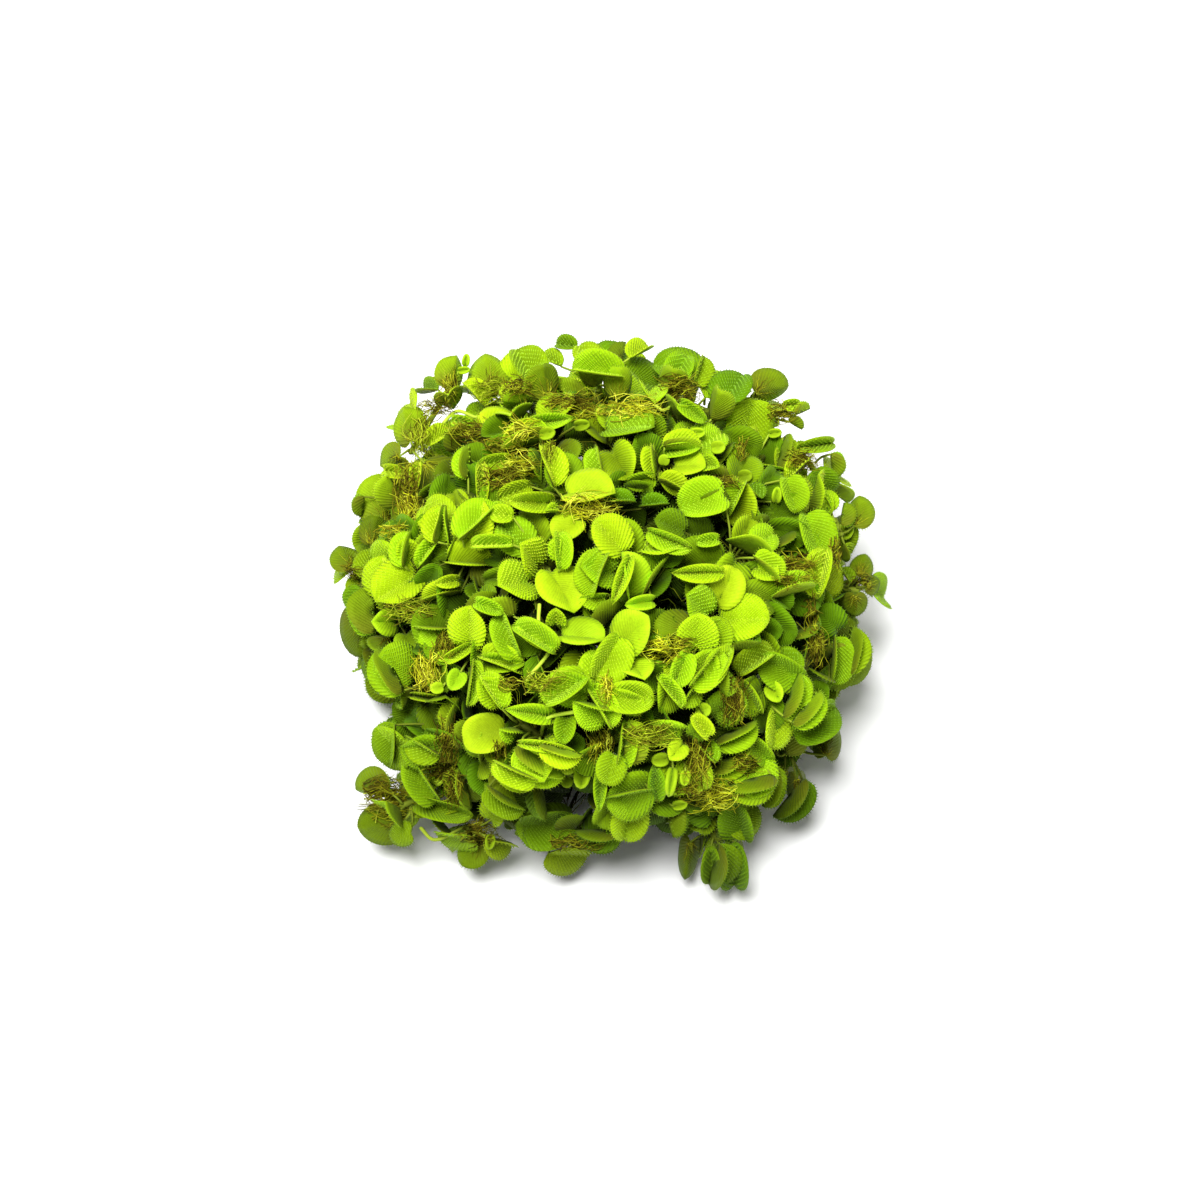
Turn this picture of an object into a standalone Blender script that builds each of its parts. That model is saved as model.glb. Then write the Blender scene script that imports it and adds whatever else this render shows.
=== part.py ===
"""A clump of salvinia, a small floating fern: plants held together by their tangled roots.

Every plant is one solid: a short creeping stem, its leaves on thin stalks and its tuft of
root-like fronds. The plants lie on a low mound. Those on its upper and front side are placed
as they show in one picture of the clump, taken from above its front, and those on its back
and underside follow a rule. A leaf that would run into another one is slid, tilted or
turned a little, and is left out where it finds no room.
"""

import math
import random
from typing import NamedTuple

import bmesh
import bpy
from mathutils import Matrix, Vector
from mathutils.bvhtree import BVHTree

MM = 0.001

# The mound
MOUND_CENTRE = Vector((0, 0, 31 * MM))
CANOPY_HALF_AXES = Vector((61 * MM, 66 * MM, 46 * MM))
STEM_DEPTH = 7.5 * MM  # how far the stems run below the canopy that the leaves make

# How the picture was taken
VIEW_RISE = math.radians(55)
VIEW_DISTANCE = 737 * MM
PICTURE_UNIT = 0.26 * MM  # one unit of the picture, at the mound's centre
PICTURE_CENTRE_X, PICTURE_CENTRE_Y = 605, 612

# One plant
STEM_RADIUS = 1.5 * MM
STEM_STEP = 4 * MM
STEM_SIDES = 5
STEM_POINT = 1.2 * MM
STALK_RADIUS = 0.42 * MM
BLADE_THICKNESS = 0.85 * MM
MOST_BLADE = 14.5 * MM
TUFT_LENGTH = 19 * MM
TUFT_RADIUS = 2.6 * MM
TUFT_WIDEST = 0.42
ROUND_BLADE = 0.94  # a blade's width over its length
HIDDEN_RIM = 1.1  # a blade's length over what its neighbours leave in sight

# Room between neighbours
WIDE_GAP, LEAST_GAP = 0.8 * MM, 0.38 * MM
OWN_GAP = 0.12 * MM
FLOOR_GAP = 0.25 * MM

CORNER_GRID = MM / 256  # the finished corners are rounded to this

# How a leaf shows
OPEN, CUP, HALF, EDGE, BACK, BUD = "open", "cup", "half", "edge", "back", "bud"
LIME, BRIGHT, MID, DARK, OLIVE = "lime", "bright", "mid", "dark", "olive"
LAYER = {LIME: 1.6 * MM, BRIGHT: 0.8 * MM, MID: 0, DARK: -2.2 * MM, OLIVE: -0.8 * MM}

RIGHT = Vector((1, 0, 0))
UPWARD = Vector((0, math.sin(VIEW_RISE), math.cos(VIEW_RISE)))
TO_EYE = Vector((0, -math.cos(VIEW_RISE), math.sin(VIEW_RISE)))
EYE = MOUND_CENTRE + TO_EYE * VIEW_DISTANCE


class Seen(NamedTuple):
    """A leaf's middle and box in the picture, how it shows, and its tip's bearing if given."""

    x: float
    y: float
    wide: float
    tall: float
    kind: str = OPEN
    tone: str = MID
    bearing: float | None = None


class Blade(NamedTuple):
    """A leaf's blade: its middle, direction, upper side, size and fold, and which way it slides."""

    middle: Vector
    along: Vector
    upper: Vector
    length: float
    fold: float
    kind: str
    tone: str
    way: Vector


S = Seen

# Stem points, leaves and root tufts of each plant in the picture
PLANTS = {
    "plant_01": (
        [(447, 392), (412, 450)],
        [
            S(452, 372, 26, 34, BACK, OLIVE), S(433, 392, 20, 28, HALF, DARK),
            S(450, 400, 30, 25, BACK, OLIVE), S(466, 360, 8, 14, BUD, MID),
            S(464, 370, 14, 8, BUD, LIME), S(408, 427, 30, 38, BACK, BRIGHT),
            S(392, 460, 36, 26, BACK, MID), S(438, 441, 26, 30, HALF, BRIGHT),
            S(436, 475, 38, 52, BACK, BRIGHT),
        ],
        [(440, 382, 16, 26)],
    ),
    "plant_02": (
        [(497, 402)],
        [
            S(488, 375, 34, 45, BACK, BRIGHT), S(519, 372, 32, 45, BACK, MID),
            S(475, 395, 30, 30, HALF, BRIGHT), S(537, 383, 12, 35, EDGE, MID),
            S(520, 402, 45, 8, EDGE, BRIGHT),
        ],
        [(500, 392, 26, 24)],
    ),
    "plant_03": (
        [(600, 372), (598, 404)],
        [
            S(568, 346, 26, 16, HALF, DARK), S(553, 363, 20, 26, HALF, MID),
            S(588, 357, 26, 32, OPEN, MID), S(609, 358, 22, 36, BACK, DARK),
            S(622, 357, 8, 34, EDGE, MID), S(638, 354, 24, 30, HALF, BRIGHT),
            S(640, 382, 50, 38, OPEN, DARK), S(562, 386, 40, 18, CUP, LIME),
            S(590, 376, 38, 20, CUP, BRIGHT),
            S(625, 388, 50, 28, OPEN, BRIGHT), S(570, 398, 36, 12, EDGE, BRIGHT),
        ],
        [(572, 407, 50, 22), (628, 408, 50, 16)],
    ),
    "plant_04": (
        [(700, 408)],
        [
            S(680, 370, 55, 35, OPEN, MID), S(697, 372, 30, 30, HALF, MID),
            S(716, 391, 30, 42, OPEN, BRIGHT), S(693, 410, 28, 16, CUP, BRIGHT),
            S(697, 433, 18, 11, BUD, LIME), S(718, 447, 16, 14, BUD, LIME),
            S(672, 430, 36, 28, OPEN, DARK), S(728, 440, 26, 24, HALF, DARK),
        ],
        [(680, 390, 26, 22)],
    ),
    "plant_05": (
        [(762, 408)],
        [
            S(770, 389, 42, 22, BACK, MID), S(743, 392, 28, 18, BACK, DARK),
            S(748, 420, 48, 42, OPEN, MID), S(790, 405, 20, 12, CUP, BRIGHT),
            S(802, 412, 16, 18, EDGE, MID), S(795, 425, 18, 14, EDGE, MID),
            S(775, 433, 15, 10, BUD, BRIGHT),
        ],
        [(785, 415, 26, 18), (744, 450, 18, 22)],
    ),
    "plant_06": (
        [(813, 468)],
        [
            S(812, 446, 42, 16, CUP, MID), S(820, 482, 34, 34, OPEN, DARK),
            S(832, 464, 14, 26, EDGE, MID), S(798, 452, 22, 20, HALF, DARK),
        ],
        [(803, 462, 24, 18)],
    ),
    "plant_07": (
        [(405, 500)],
        [
            S(383, 502, 34, 58, BACK, BRIGHT), S(427, 511, 26, 44, BACK, BRIGHT),
            S(398, 472, 30, 16, CUP, BRIGHT), S(420, 478, 8, 30, EDGE, BRIGHT),
            S(363, 505, 12, 22, EDGE, DARK), S(392, 532, 30, 20, OPEN, DARK),
        ],
        [(407, 500, 22, 44)],
    ),
    "plant_08": (
        [(482, 450)],
        [
            S(497, 423, 36, 24, OPEN, LIME), S(466, 422, 26, 12, CUP, BRIGHT),
            S(455, 435, 36, 18, OPEN, DARK), S(483, 482, 14, 40, EDGE, BRIGHT),
            S(495, 457, 30, 12, CUP, BRIGHT), S(467, 465, 14, 32, HALF, BRIGHT),
            S(455, 490, 26, 24, OPEN, DARK),
        ],
        [(490, 440, 50, 18), (508, 475, 42, 32)],
    ),
    "plant_09": (
        [(550, 448)],
        [
            S(547, 433, 18, 14, BUD, BRIGHT), S(531, 432, 16, 10, BUD, LIME),
            S(552, 421, 44, 16, CUP, BRIGHT), S(582, 425, 18, 12, BUD, LIME),
            S(526, 447, 40, 20, HALF, MID), S(542, 468, 17, 42, CUP, BRIGHT),
            S(563, 457, 28, 38, BACK, MID), S(562, 485, 22, 30, HALF, MID),
        ],
        [(548, 450, 20, 20)],
    ),
    "plant_10": (
        [(618, 452)],
        [
            S(627, 428, 52, 28, OPEN, MID), S(598, 452, 42, 38, OPEN, DARK),
            S(645, 430, 20, 40, HALF, DARK), S(620, 465, 46, 38, CUP, BRIGHT),
            S(598, 464, 18, 34, HALF, BRIGHT), S(640, 482, 34, 20, CUP, BRIGHT),
        ],
        [],
    ),
    "plant_11": (
        [(672, 468)],
        [
            S(682, 449, 40, 12, CUP, BRIGHT), S(688, 466, 32, 24, OPEN, LIME),
            S(657, 461, 12, 34, CUP, BRIGHT), S(664, 460, 12, 12, BUD, LIME),
            S(671, 484, 28, 24, CUP, BRIGHT), S(711, 467, 18, 26, HALF, BRIGHT),
            S(655, 490, 24, 20, HALF, DARK),
        ],
        [],
    ),
    "plant_12": (
        [(726, 488)],
        [
            S(700, 495, 34, 30, OPEN, BRIGHT), S(737, 505, 44, 36, CUP, BRIGHT),
            S(745, 476, 16, 14, BUD, BRIGHT), S(718, 477, 22, 8, EDGE, BRIGHT),
            S(752, 495, 20, 28, HALF, DARK), S(712, 512, 26, 20, HALF, MID),
        ],
        [(727, 483, 24, 14)],
    ),
    "plant_13": (
        [(778, 488)],
        [
            S(760, 467, 66, 14, CUP, BRIGHT), S(783, 462, 26, 40, CUP, MID),
            S(765, 490, 28, 30, OPEN, DARK), S(797, 475, 26, 16, CUP, BRIGHT),
            S(797, 495, 30, 34, OPEN, BRIGHT), S(777, 495, 10, 18, BUD, LIME),
            S(775, 521, 56, 42, OPEN, MID),
        ],
        [],
    ),
    "plant_14": (
        [(838, 527)],
        [
            S(813, 535, 46, 50, OPEN, MID), S(827, 503, 18, 24, HALF, BRIGHT),
            S(842, 515, 16, 26, EDGE, MID), S(856, 512, 20, 36, BACK, MID),
            S(846, 531, 16, 20, BUD, BRIGHT), S(843, 550, 20, 20, HALF, MID),
        ],
        [(836, 552, 18, 20)],
    ),
    "plant_15": (
        [(577, 513)],
        [
            S(587, 492, 50, 34, OPEN, LIME), S(530, 502, 46, 26, CUP, BRIGHT),
            S(568, 527, 36, 28, OPEN, LIME), S(600, 528, 28, 22, CUP, LIME),
            S(627, 533, 40, 38, OPEN, BRIGHT), S(620, 505, 32, 16, HALF, DARK),
            S(655, 507, 28, 25, HALF, DARK), S(551, 512, 24, 16, CUP, BRIGHT),
        ],
        [(586, 507, 50, 18)],
    ),
    "plant_16": (
        [(470, 547)],
        [
            S(476, 525, 44, 48, OPEN, BRIGHT), S(500, 513, 22, 22, HALF, MID),
            S(448, 525, 22, 40, HALF, BRIGHT), S(492, 541, 44, 26, CUP, BRIGHT),
            S(475, 563, 38, 38, CUP, BRIGHT), S(447, 582, 24, 14, CUP, BRIGHT),
            S(478, 590, 24, 18, HALF, DARK),
        ],
        [],
    ),
    "plant_17": (
        [(420, 567)],
        [
            S(407, 550, 24, 30, CUP, BRIGHT), S(427, 545, 14, 22, EDGE, BRIGHT),
            S(433, 566, 36, 44, CUP, BRIGHT), S(399, 586, 56, 42, OPEN, BRIGHT),
            S(444, 602, 36, 24, CUP, BRIGHT),
        ],
        [],
    ),
    "plant_18": (
        [(364, 580)],
        [
            S(371, 566, 32, 36, OPEN, MID), S(346, 558, 34, 28, BACK, MID),
            S(373, 532, 26, 30, BACK, DARK), S(361, 630, 30, 54, BACK, DARK),
            S(357, 600, 22, 30, HALF, DARK),
        ],
        [(352, 571, 18, 14)],
    ),
    "plant_19": (
        [(402, 617)],
        [
            S(385, 622, 24, 28, CUP, LIME), S(408, 643, 26, 20, CUP, LIME),
            S(435, 633, 42, 36, CUP, BRIGHT), S(374, 612, 12, 52, EDGE, MID),
            S(383, 645, 26, 34, BACK, MID), S(412, 664, 34, 14, HALF, DARK),
        ],
        [(415, 612, 40, 22)],
    ),
    "plant_20": (
        [(548, 570)],
        [
            S(530, 556, 52, 52, OPEN, BRIGHT), S(561, 550, 20, 32, HALF, BRIGHT),
            S(516, 584, 42, 46, OPEN, BRIGHT), S(561, 590, 50, 50, OPEN, LIME),
        ],
        [],
    ),
    "plant_21": (
        [(638, 578)],
        [
            S(624, 577, 30, 50, HALF, LIME), S(650, 580, 48, 50, OPEN, BRIGHT),
            S(600, 570, 36, 42, OPEN, MID), S(594, 598, 28, 18, CUP, BRIGHT),
            S(660, 550, 40, 18, OPEN, BRIGHT), S(640, 603, 30, 14, CUP, LIME),
        ],
        [],
    ),
    "plant_22": (
        [(733, 560)],
        [
            S(700, 563, 56, 34, OPEN, BRIGHT), S(728, 576, 40, 42, OPEN, LIME),
            S(750, 543, 44, 36, OPEN, LIME), S(766, 573, 28, 24, OPEN, BRIGHT),
            S(672, 526, 34, 30, OPEN, DARK), S(695, 535, 40, 22, OPEN, DARK),
        ],
        [],
    ),
    "plant_23": (
        [(712, 622)],
        [
            S(742, 619, 50, 48, OPEN, BRIGHT), S(698, 606, 44, 42, OPEN, MID),
            S(680, 631, 46, 38, BACK, BRIGHT), S(745, 650, 45, 14, HALF, DARK),
            S(712, 640, 26, 20, HALF, MID),
        ],
        [(667, 645, 26, 18)],
    ),
    "plant_24": (
        [(812, 580), (855, 590)],
        [
            S(825, 580, 26, 44, OPEN, BRIGHT), S(790, 600, 42, 24, CUP, BRIGHT),
            S(800, 613, 34, 16, CUP, LIME), S(785, 560, 20, 24, HALF, BRIGHT),
            S(836, 605, 24, 36, BACK, MID), S(862, 566, 20, 26, BACK, DARK),
            S(872, 584, 16, 20, BACK, DARK), S(855, 604, 24, 24, BACK, DARK),
            S(846, 577, 20, 20, HALF, DARK),
        ],
        [(800, 568, 36, 40)],
    ),
    "plant_25": (
        [(556, 636), (622, 646)],
        [
            S(535, 639, 42, 34, OPEN, BRIGHT), S(580, 637, 46, 28, OPEN, LIME),
            S(556, 617, 22, 16, CUP, BRIGHT), S(500, 616, 36, 12, EDGE, BRIGHT),
            S(632, 633, 48, 34, OPEN, LIME), S(607, 657, 46, 44, OPEN, MID),
            S(636, 669, 34, 30, OPEN, LIME), S(620, 677, 12, 12, BUD, LIME),
            S(655, 650, 28, 20, HALF, DARK),
        ],
        [],
    ),
    "plant_26": (
        [(470, 655), (420, 682)],
        [
            S(470, 627, 40, 40, OPEN, BRIGHT), S(462, 652, 26, 14, CUP, BRIGHT),
            S(443, 656, 14, 12, BUD, LIME), S(456, 680, 20, 22, CUP, LIME),
            S(503, 643, 22, 42, HALF, BRIGHT), S(437, 688, 14, 12, BUD, LIME),
            S(472, 690, 18, 50, CUP, BRIGHT), S(505, 663, 46, 24, CUP, BRIGHT),
            S(400, 668, 38, 48, BACK, MID), S(436, 699, 50, 14, CUP, BRIGHT),
            S(390, 690, 24, 22, HALF, DARK), S(432, 716, 28, 30, OPEN, DARK),
            S(408, 700, 28, 20, HALF, DARK),
        ],
        [(420, 668, 24, 18)],
    ),
    "plant_27": (
        [(530, 730)],
        [
            S(490, 690, 30, 36, CUP, BRIGHT), S(530, 713, 48, 24, CUP, BRIGHT),
            S(530, 732, 46, 26, OPEN, MID), S(545, 747, 60, 20, CUP, BRIGHT),
            S(541, 763, 52, 36, OPEN, BRIGHT), S(568, 762, 24, 16, HALF, LIME),
            S(518, 772, 42, 20, CUP, BRIGHT), S(508, 728, 20, 26, HALF, BRIGHT),
        ],
        [],
    ),
    "plant_28": (
        [(600, 702)],
        [
            S(573, 685, 46, 38, OPEN, MID), S(592, 703, 38, 48, HALF, BRIGHT),
            S(628, 698, 38, 32, OPEN, BRIGHT), S(565, 730, 14, 30, HALF, MID),
            S(548, 700, 28, 26, HALF, DARK), S(617, 722, 10, 10, BUD, LIME),
        ],
        [],
    ),
    "plant_29": (
        [(697, 668)],
        [
            S(679, 667, 32, 36, CUP, BRIGHT), S(706, 664, 34, 34, CUP, BRIGHT),
            S(715, 681, 42, 34, HALF, MID), S(667, 691, 26, 40, OPEN, BRIGHT),
            S(688, 694, 26, 26, HALF, MID),
        ],
        [],
    ),
    "plant_30": (
        [(765, 688)],
        [
            S(751, 697, 30, 36, OPEN, MID), S(775, 693, 18, 22, CUP, LIME),
            S(766, 679, 9, 8, BUD, LIME), S(789, 692, 18, 44, EDGE, MID),
            S(805, 703, 22, 28, BACK, BRIGHT), S(787, 667, 44, 32, OPEN, DARK),
            S(752, 662, 36, 30, BACK, MID),
        ],
        [],
    ),
    "plant_31": (
        [(826, 642)],
        [
            S(829, 664, 18, 52, EDGE, MID), S(848, 661, 18, 52, BACK, MID),
            S(841, 626, 36, 22, BACK, DARK), S(818, 630, 16, 18, HALF, MID),
            S(796, 641, 34, 24, OPEN, DARK),
        ],
        [(810, 652, 20, 26)],
    ),
    "plant_32": (
        [(458, 738)],
        [
            S(485, 742, 22, 40, HALF, LIME), S(467, 735, 10, 30, EDGE, BRIGHT),
            S(488, 766, 30, 24, OPEN, BRIGHT), S(396, 745, 34, 46, OPEN, MID),
            S(424, 748, 48, 28, OPEN, MID), S(455, 716, 20, 32, HALF, MID),
        ],
        [(448, 744, 28, 30)],
    ),
    "plant_33": (
        [(447, 788), (404, 805)],
        [
            S(424, 779, 40, 48, OPEN, BRIGHT), S(467, 784, 28, 36, BACK, BRIGHT),
            S(441, 808, 56, 16, CUP, BRIGHT), S(470, 808, 24, 22, HALF, DARK),
            S(375, 790, 44, 28, BACK, OLIVE), S(388, 773, 28, 18, HALF, DARK),
            S(384, 823, 50, 30, BACK, OLIVE), S(401, 834, 26, 16, BACK, MID),
        ],
        [(385, 808, 60, 12), (452, 790, 22, 34)],
    ),
    "plant_34": (
        [(477, 832)],
        [
            S(457, 837, 42, 20, OPEN, BRIGHT), S(473, 851, 30, 30, BACK, OLIVE),
            S(496, 838, 28, 36, HALF, BRIGHT), S(490, 842, 10, 16, BUD, LIME),
            S(496, 810, 30, 26, OPEN, MID),
        ],
        [(478, 824, 26, 16)],
    ),
    "plant_35": (
        [(552, 818)],
        [
            S(508, 787, 34, 36, HALF, DARK), S(546, 790, 46, 26, OPEN, DARK),
            S(546, 823, 54, 42, OPEN, MID), S(566, 855, 46, 30, OPEN, OLIVE),
            S(600, 832, 58, 34, OPEN, DARK),
        ],
        [(600, 848, 30, 12)],
    ),
    "plant_36": (
        [(612, 757), (642, 790)],
        [
            S(625, 743, 20, 46, EDGE, BRIGHT), S(610, 768, 30, 32, OPEN, MID),
            S(582, 777, 16, 24, BUD, BRIGHT), S(567, 782, 12, 12, BUD, BRIGHT),
            S(600, 792, 14, 38, CUP, MID), S(630, 793, 50, 48, OPEN, MID),
            S(655, 785, 18, 32, HALF, BRIGHT), S(671, 782, 10, 30, BUD, LIME),
            S(668, 820, 20, 36, EDGE, DARK),
        ],
        [(600, 742, 24, 28)],
    ),
    "plant_37": (
        [(682, 737)],
        [
            S(660, 760, 18, 14, BUD, LIME), S(677, 751, 22, 20, CUP, LIME),
            S(703, 710, 17, 15, BUD, LIME), S(643, 746, 30, 18, HALF, MID),
            S(668, 728, 46, 30, OPEN, OLIVE), S(699, 729, 24, 22, OPEN, DARK),
            S(725, 706, 40, 38, OPEN, DARK), S(705, 755, 30, 24, HALF, MID),
        ],
        [],
    ),
    "plant_38": (
        [(748, 750), (790, 745)],
        [
            S(735, 729, 42, 22, OPEN, BRIGHT), S(729, 756, 42, 26, CUP, BRIGHT),
            S(757, 748, 24, 28, HALF, BRIGHT), S(753, 774, 46, 32, OPEN, BRIGHT),
            S(806, 720, 56, 48, OPEN, DARK), S(828, 740, 18, 40, BACK, DARK),
            S(783, 737, 24, 48, EDGE, MID), S(783, 783, 30, 34, BACK, DARK),
            S(797, 796, 24, 46, BACK, DARK),
        ],
        [(746, 763, 26, 16)],
    ),
    "plant_39": (
        [(710, 798), (714, 838)],
        [
            S(738, 817, 34, 48, OPEN, MID), S(703, 818, 28, 28, BACK, OLIVE),
            S(685, 778, 10, 16, BUD, BRIGHT), S(680, 805, 16, 10, BUD, LIME),
            S(711, 862, 28, 42, CUP, MID), S(736, 860, 28, 42, BACK, MID),
            S(688, 858, 20, 44, BACK, MID),
        ],
        [(715, 792, 36, 36)],
    ),
}


class HiddenRow(NamedTuple):
    """Plants that the picture doesn't show, in a level row round the mound's back."""

    rise: float
    spread: float
    count: int


HIDDEN_ROWS = (
    HiddenRow(-26, 112, 6),
    HiddenRow(-4, 84, 5),
    HiddenRow(17, 56, 4),
    HiddenRow(37, 20, 2),
)
HIDDEN_NODES = 5
HIDDEN_STEP = 6 * MM
HIDDEN_BLADE = 13.5 * MM
FILLING_LEAVES = 2
FILLING_BLADE = 11.5 * MM
UNDER_COUNT = 4
UNDER_RADIUS = 27 * MM
UNDER_HEIGHT = 6 * MM
UNDER_LEAVES = 9

COLOURS = {
    "plant": (0.16, 0.42, 0.01, 1),
    "back_plant": (0.12, 0.34, 0.015, 1),
    "under_plant": (0.09, 0.26, 0.015, 1),
}
LEAF_ROUGHNESS = 0.55


def shrunk(depth):
    """Half-axes of the mound's surface that lies depth under the canopy."""
    return CANOPY_HALF_AXES - Vector((depth, depth, depth))


def picture_place(point):
    """Where a point of space shows in the picture."""
    offset = point - EYE
    unit = -offset.dot(TO_EYE) / VIEW_DISTANCE * PICTURE_UNIT
    return (
        PICTURE_CENTRE_X + offset.dot(RIGHT) / unit,
        PICTURE_CENTRE_Y - offset.dot(UPWARD) / unit,
    )


def sight_line(x, y):
    """Direction from the eye through a picture point."""
    side = RIGHT * ((x - PICTURE_CENTRE_X) * PICTURE_UNIT)
    rise = UPWARD * ((PICTURE_CENTRE_Y - y) * PICTURE_UNIT)
    return (MOUND_CENTRE + side + rise - EYE).normalized()


def on_mound(x, y, depth, lowest):
    """Where a sight line meets the mound's surface, or passes nearest to it, above lowest."""
    ray = sight_line(x, y)
    half = shrunk(depth)
    start = Vector([a / b for a, b in zip(EYE - MOUND_CENTRE, half)])
    step = Vector([a / b for a, b in zip(ray, half)])
    across = start.dot(step)
    square = step.dot(step)
    inside = max(0.0, across * across - square * (start.dot(start) - 1))
    point = EYE + ray * ((-across - math.sqrt(inside)) / square)
    if point.z < lowest:
        point = EYE + ray * ((lowest - EYE.z) / ray.z)
    return point


def outward(point):
    """The mound's outward direction beside a point."""
    offset = point - MOUND_CENTRE
    return Vector([a / (b * b) for a, b in zip(offset, CANOPY_HALF_AXES)]).normalized()


def seen_blade(leaf, stem):
    """The blade of a leaf from how it shows in the picture, on a plant with stem points stem."""
    point = on_mound(leaf.x, leaf.y, 0, 2.5 * MM)
    places = [picture_place(p) for p in stem]
    distances = [math.hypot(leaf.x - x, leaf.y - y) for x, y in places]
    nearest = distances.index(min(distances))
    root = stem[nearest]
    ray = sight_line(leaf.x, leaf.y)
    middle = point - ray * LAYER[leaf.tone]
    ahead = (middle - root).dot(TO_EYE)
    middle -= ray * (min(max(ahead, 0.5 * MM), 8.5 * MM) - ahead)
    if middle.z < 1.5 * MM:
        middle -= ray * ((1.5 * MM - middle.z) / -ray.z)
    dx = leaf.x - places[nearest][0]
    dy = places[nearest][1] - leaf.y
    if leaf.bearing is not None:
        dx = math.cos(math.radians(leaf.bearing))
        dy = math.sin(math.radians(leaf.bearing))
    elif leaf.wide > 1.45 * leaf.tall:
        dx, dy = math.copysign(1, dx), 0.15 * dy / max(abs(dx), abs(dy), 1)
    elif leaf.tall > 1.45 * leaf.wide:
        dx, dy = 0.15 * dx / max(abs(dx), abs(dy), 1), math.copysign(1, dy)
    reach = math.hypot(dx, dy) or 1
    ux, uy = dx / reach, dy / reach
    unit = -(middle - EYE).dot(TO_EYE) / VIEW_DISTANCE * PICTURE_UNIT
    shown_length = math.hypot(leaf.wide * ux, leaf.tall * uy) * unit
    shown_width = math.hypot(leaf.wide * uy, leaf.tall * ux) * unit
    length = max(shown_length, shown_width / ROUND_BLADE) * HIDDEN_RIM
    length = min(length, MOST_BLADE)
    tilt = math.acos(min(1, shown_length / length))
    narrow = math.acos(min(1, shown_width / (length * ROUND_BLADE)))
    toward = -ray
    flat = (RIGHT * ux + UPWARD * uy).normalized()
    side = 1 if outward(point).dot(toward) > 0.35 else -1
    along = (flat * math.cos(tilt) + toward * (side * math.sin(tilt))).normalized()
    upper = toward * math.cos(tilt) - flat * (side * math.sin(tilt))
    across = along.cross(upper)
    fold, roll = math.radians(14), 0.0
    if leaf.kind == OPEN:
        roll = min(narrow, math.radians(62))
    elif leaf.kind == CUP:
        fold = min(max(narrow, math.radians(25)), math.radians(74))
    elif leaf.kind == HALF:
        fold = roll = math.radians(46)
    elif leaf.kind == EDGE:
        fold, roll = math.radians(70), math.radians(86)
    elif leaf.kind == BACK:
        fold = min(max(narrow * 0.6, math.radians(16)), math.radians(60))
        roll = math.radians(180)
    elif leaf.kind == BUD:
        fold = math.radians(35)
    if across.dot(outward(point)) < 0:
        roll = -roll
    upper = Matrix.Rotation(roll, 3, along) @ upper
    return Blade(middle, along, upper.normalized(), length, fold, leaf.kind, leaf.tone, toward)


def stem_path(places):
    """Points of a plant's stem that creeps under the canopy, through places in the picture."""
    ends = [on_mound(x, y, STEM_DEPTH, 5 * MM) for x, y in places]
    if len(ends) == 1:
        across = outward(ends[0]).cross(Vector((0.3, 0.2, 1))).normalized()
        return [ends[0] - across * (STEM_STEP / 2), ends[0] + across * (STEM_STEP / 2)]
    steps = max(1, round((ends[1] - ends[0]).length / STEM_STEP))
    return [ends[0].lerp(ends[1], i / steps) for i in range(steps + 1)]


def stem_shape(path):
    """Vertices and outward faces of a stem: staggered rings of five points with pointed ends."""
    heading = (path[-1] - path[0]).normalized()
    side = outward(path[0]).cross(heading).normalized()
    rise = heading.cross(side)
    points = [path[0] - heading * STEM_POINT]
    for i, middle in enumerate(path):
        for k in range(STEM_SIDES):
            angle = math.tau * (k + 0.5 * i) / STEM_SIDES
            spoke = side * math.cos(angle) + rise * math.sin(angle)
            points.append(middle + spoke * STEM_RADIUS)
    points.append(path[-1] + heading * STEM_POINT)
    faces = []
    last = len(points) - 1
    for k in range(STEM_SIDES):
        following = (k + 1) % STEM_SIDES
        faces.append((0, 1 + following, 1 + k))
        for i in range(len(path) - 1):
            low, high = 1 + i * STEM_SIDES, 1 + (i + 1) * STEM_SIDES
            faces.append((low + k, low + following, high + k))
            faces.append((low + following, high + following, high + k))
        top = 1 + (len(path) - 1) * STEM_SIDES
        faces.append((top + k, top + following, last))
    return points, faces


def blade_points(blade, gap=0.0):
    """The stalk's end, as two low points and a high one, and the blade's rim of five."""
    across = blade.along.cross(blade.upper)
    base = blade.middle - blade.along * (blade.length / 2)
    half = blade.length * ROUND_BLADE / 2 + gap
    rim = ((0.88, 0.11), (1.0, 0.63))
    lift, spread = math.sin(blade.fold), math.cos(blade.fold)

    def place(x, y, z):
        return base + across * x + blade.along * y + blade.upper * z

    right = [place(half * w * spread, blade.length * y, half * w * lift) for w, y in rim]
    left = [place(-half * w * spread, blade.length * y, half * w * lift) for w, y in rim]
    stalk = [
        place(STALK_RADIUS, 0, 0),
        place(-STALK_RADIUS, 0, 0),
        place(0, 0, BLADE_THICKNESS),
    ]
    return stalk, right + [place(0, blade.length + gap, 0)] + left[::-1]


def blade_faces(first):
    """Faces of a blade whose stalk's end and rim are eight vertices from first on."""
    low_right, low_left, high, r1, r2, tip, l2, l1 = range(first, first + 8)
    top = [low_right, r1, r2, tip, l2, l1, low_left]
    under = [r2, r1, low_right, low_left, l1, l2]
    faces = [(high, a, b) for a, b in zip(top, top[1:])]
    faces += [(tip, a, b) for a, b in zip(under, under[1:])]
    return faces


def padded_blade(blade, gap):
    """A closed slab round a blade, gap wider on each side, for testing the room it needs."""
    stalk, rim = blade_points(blade, gap)
    ring = [stalk[0]] + rim + [stalk[1]]
    over = blade.upper * (BLADE_THICKNESS + gap)
    points = [p + over for p in ring] + [p - blade.upper * gap for p in ring]
    count = len(ring)
    faces = []
    for i in range(count):
        following = (i + 1) % count
        faces.append((i, following, count + following, count + i))
    faces += [(0, i, i + 1) for i in range(1, count - 1)]
    faces += [(count, count + i + 1, count + i) for i in range(1, count - 1)]
    return points, faces


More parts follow.
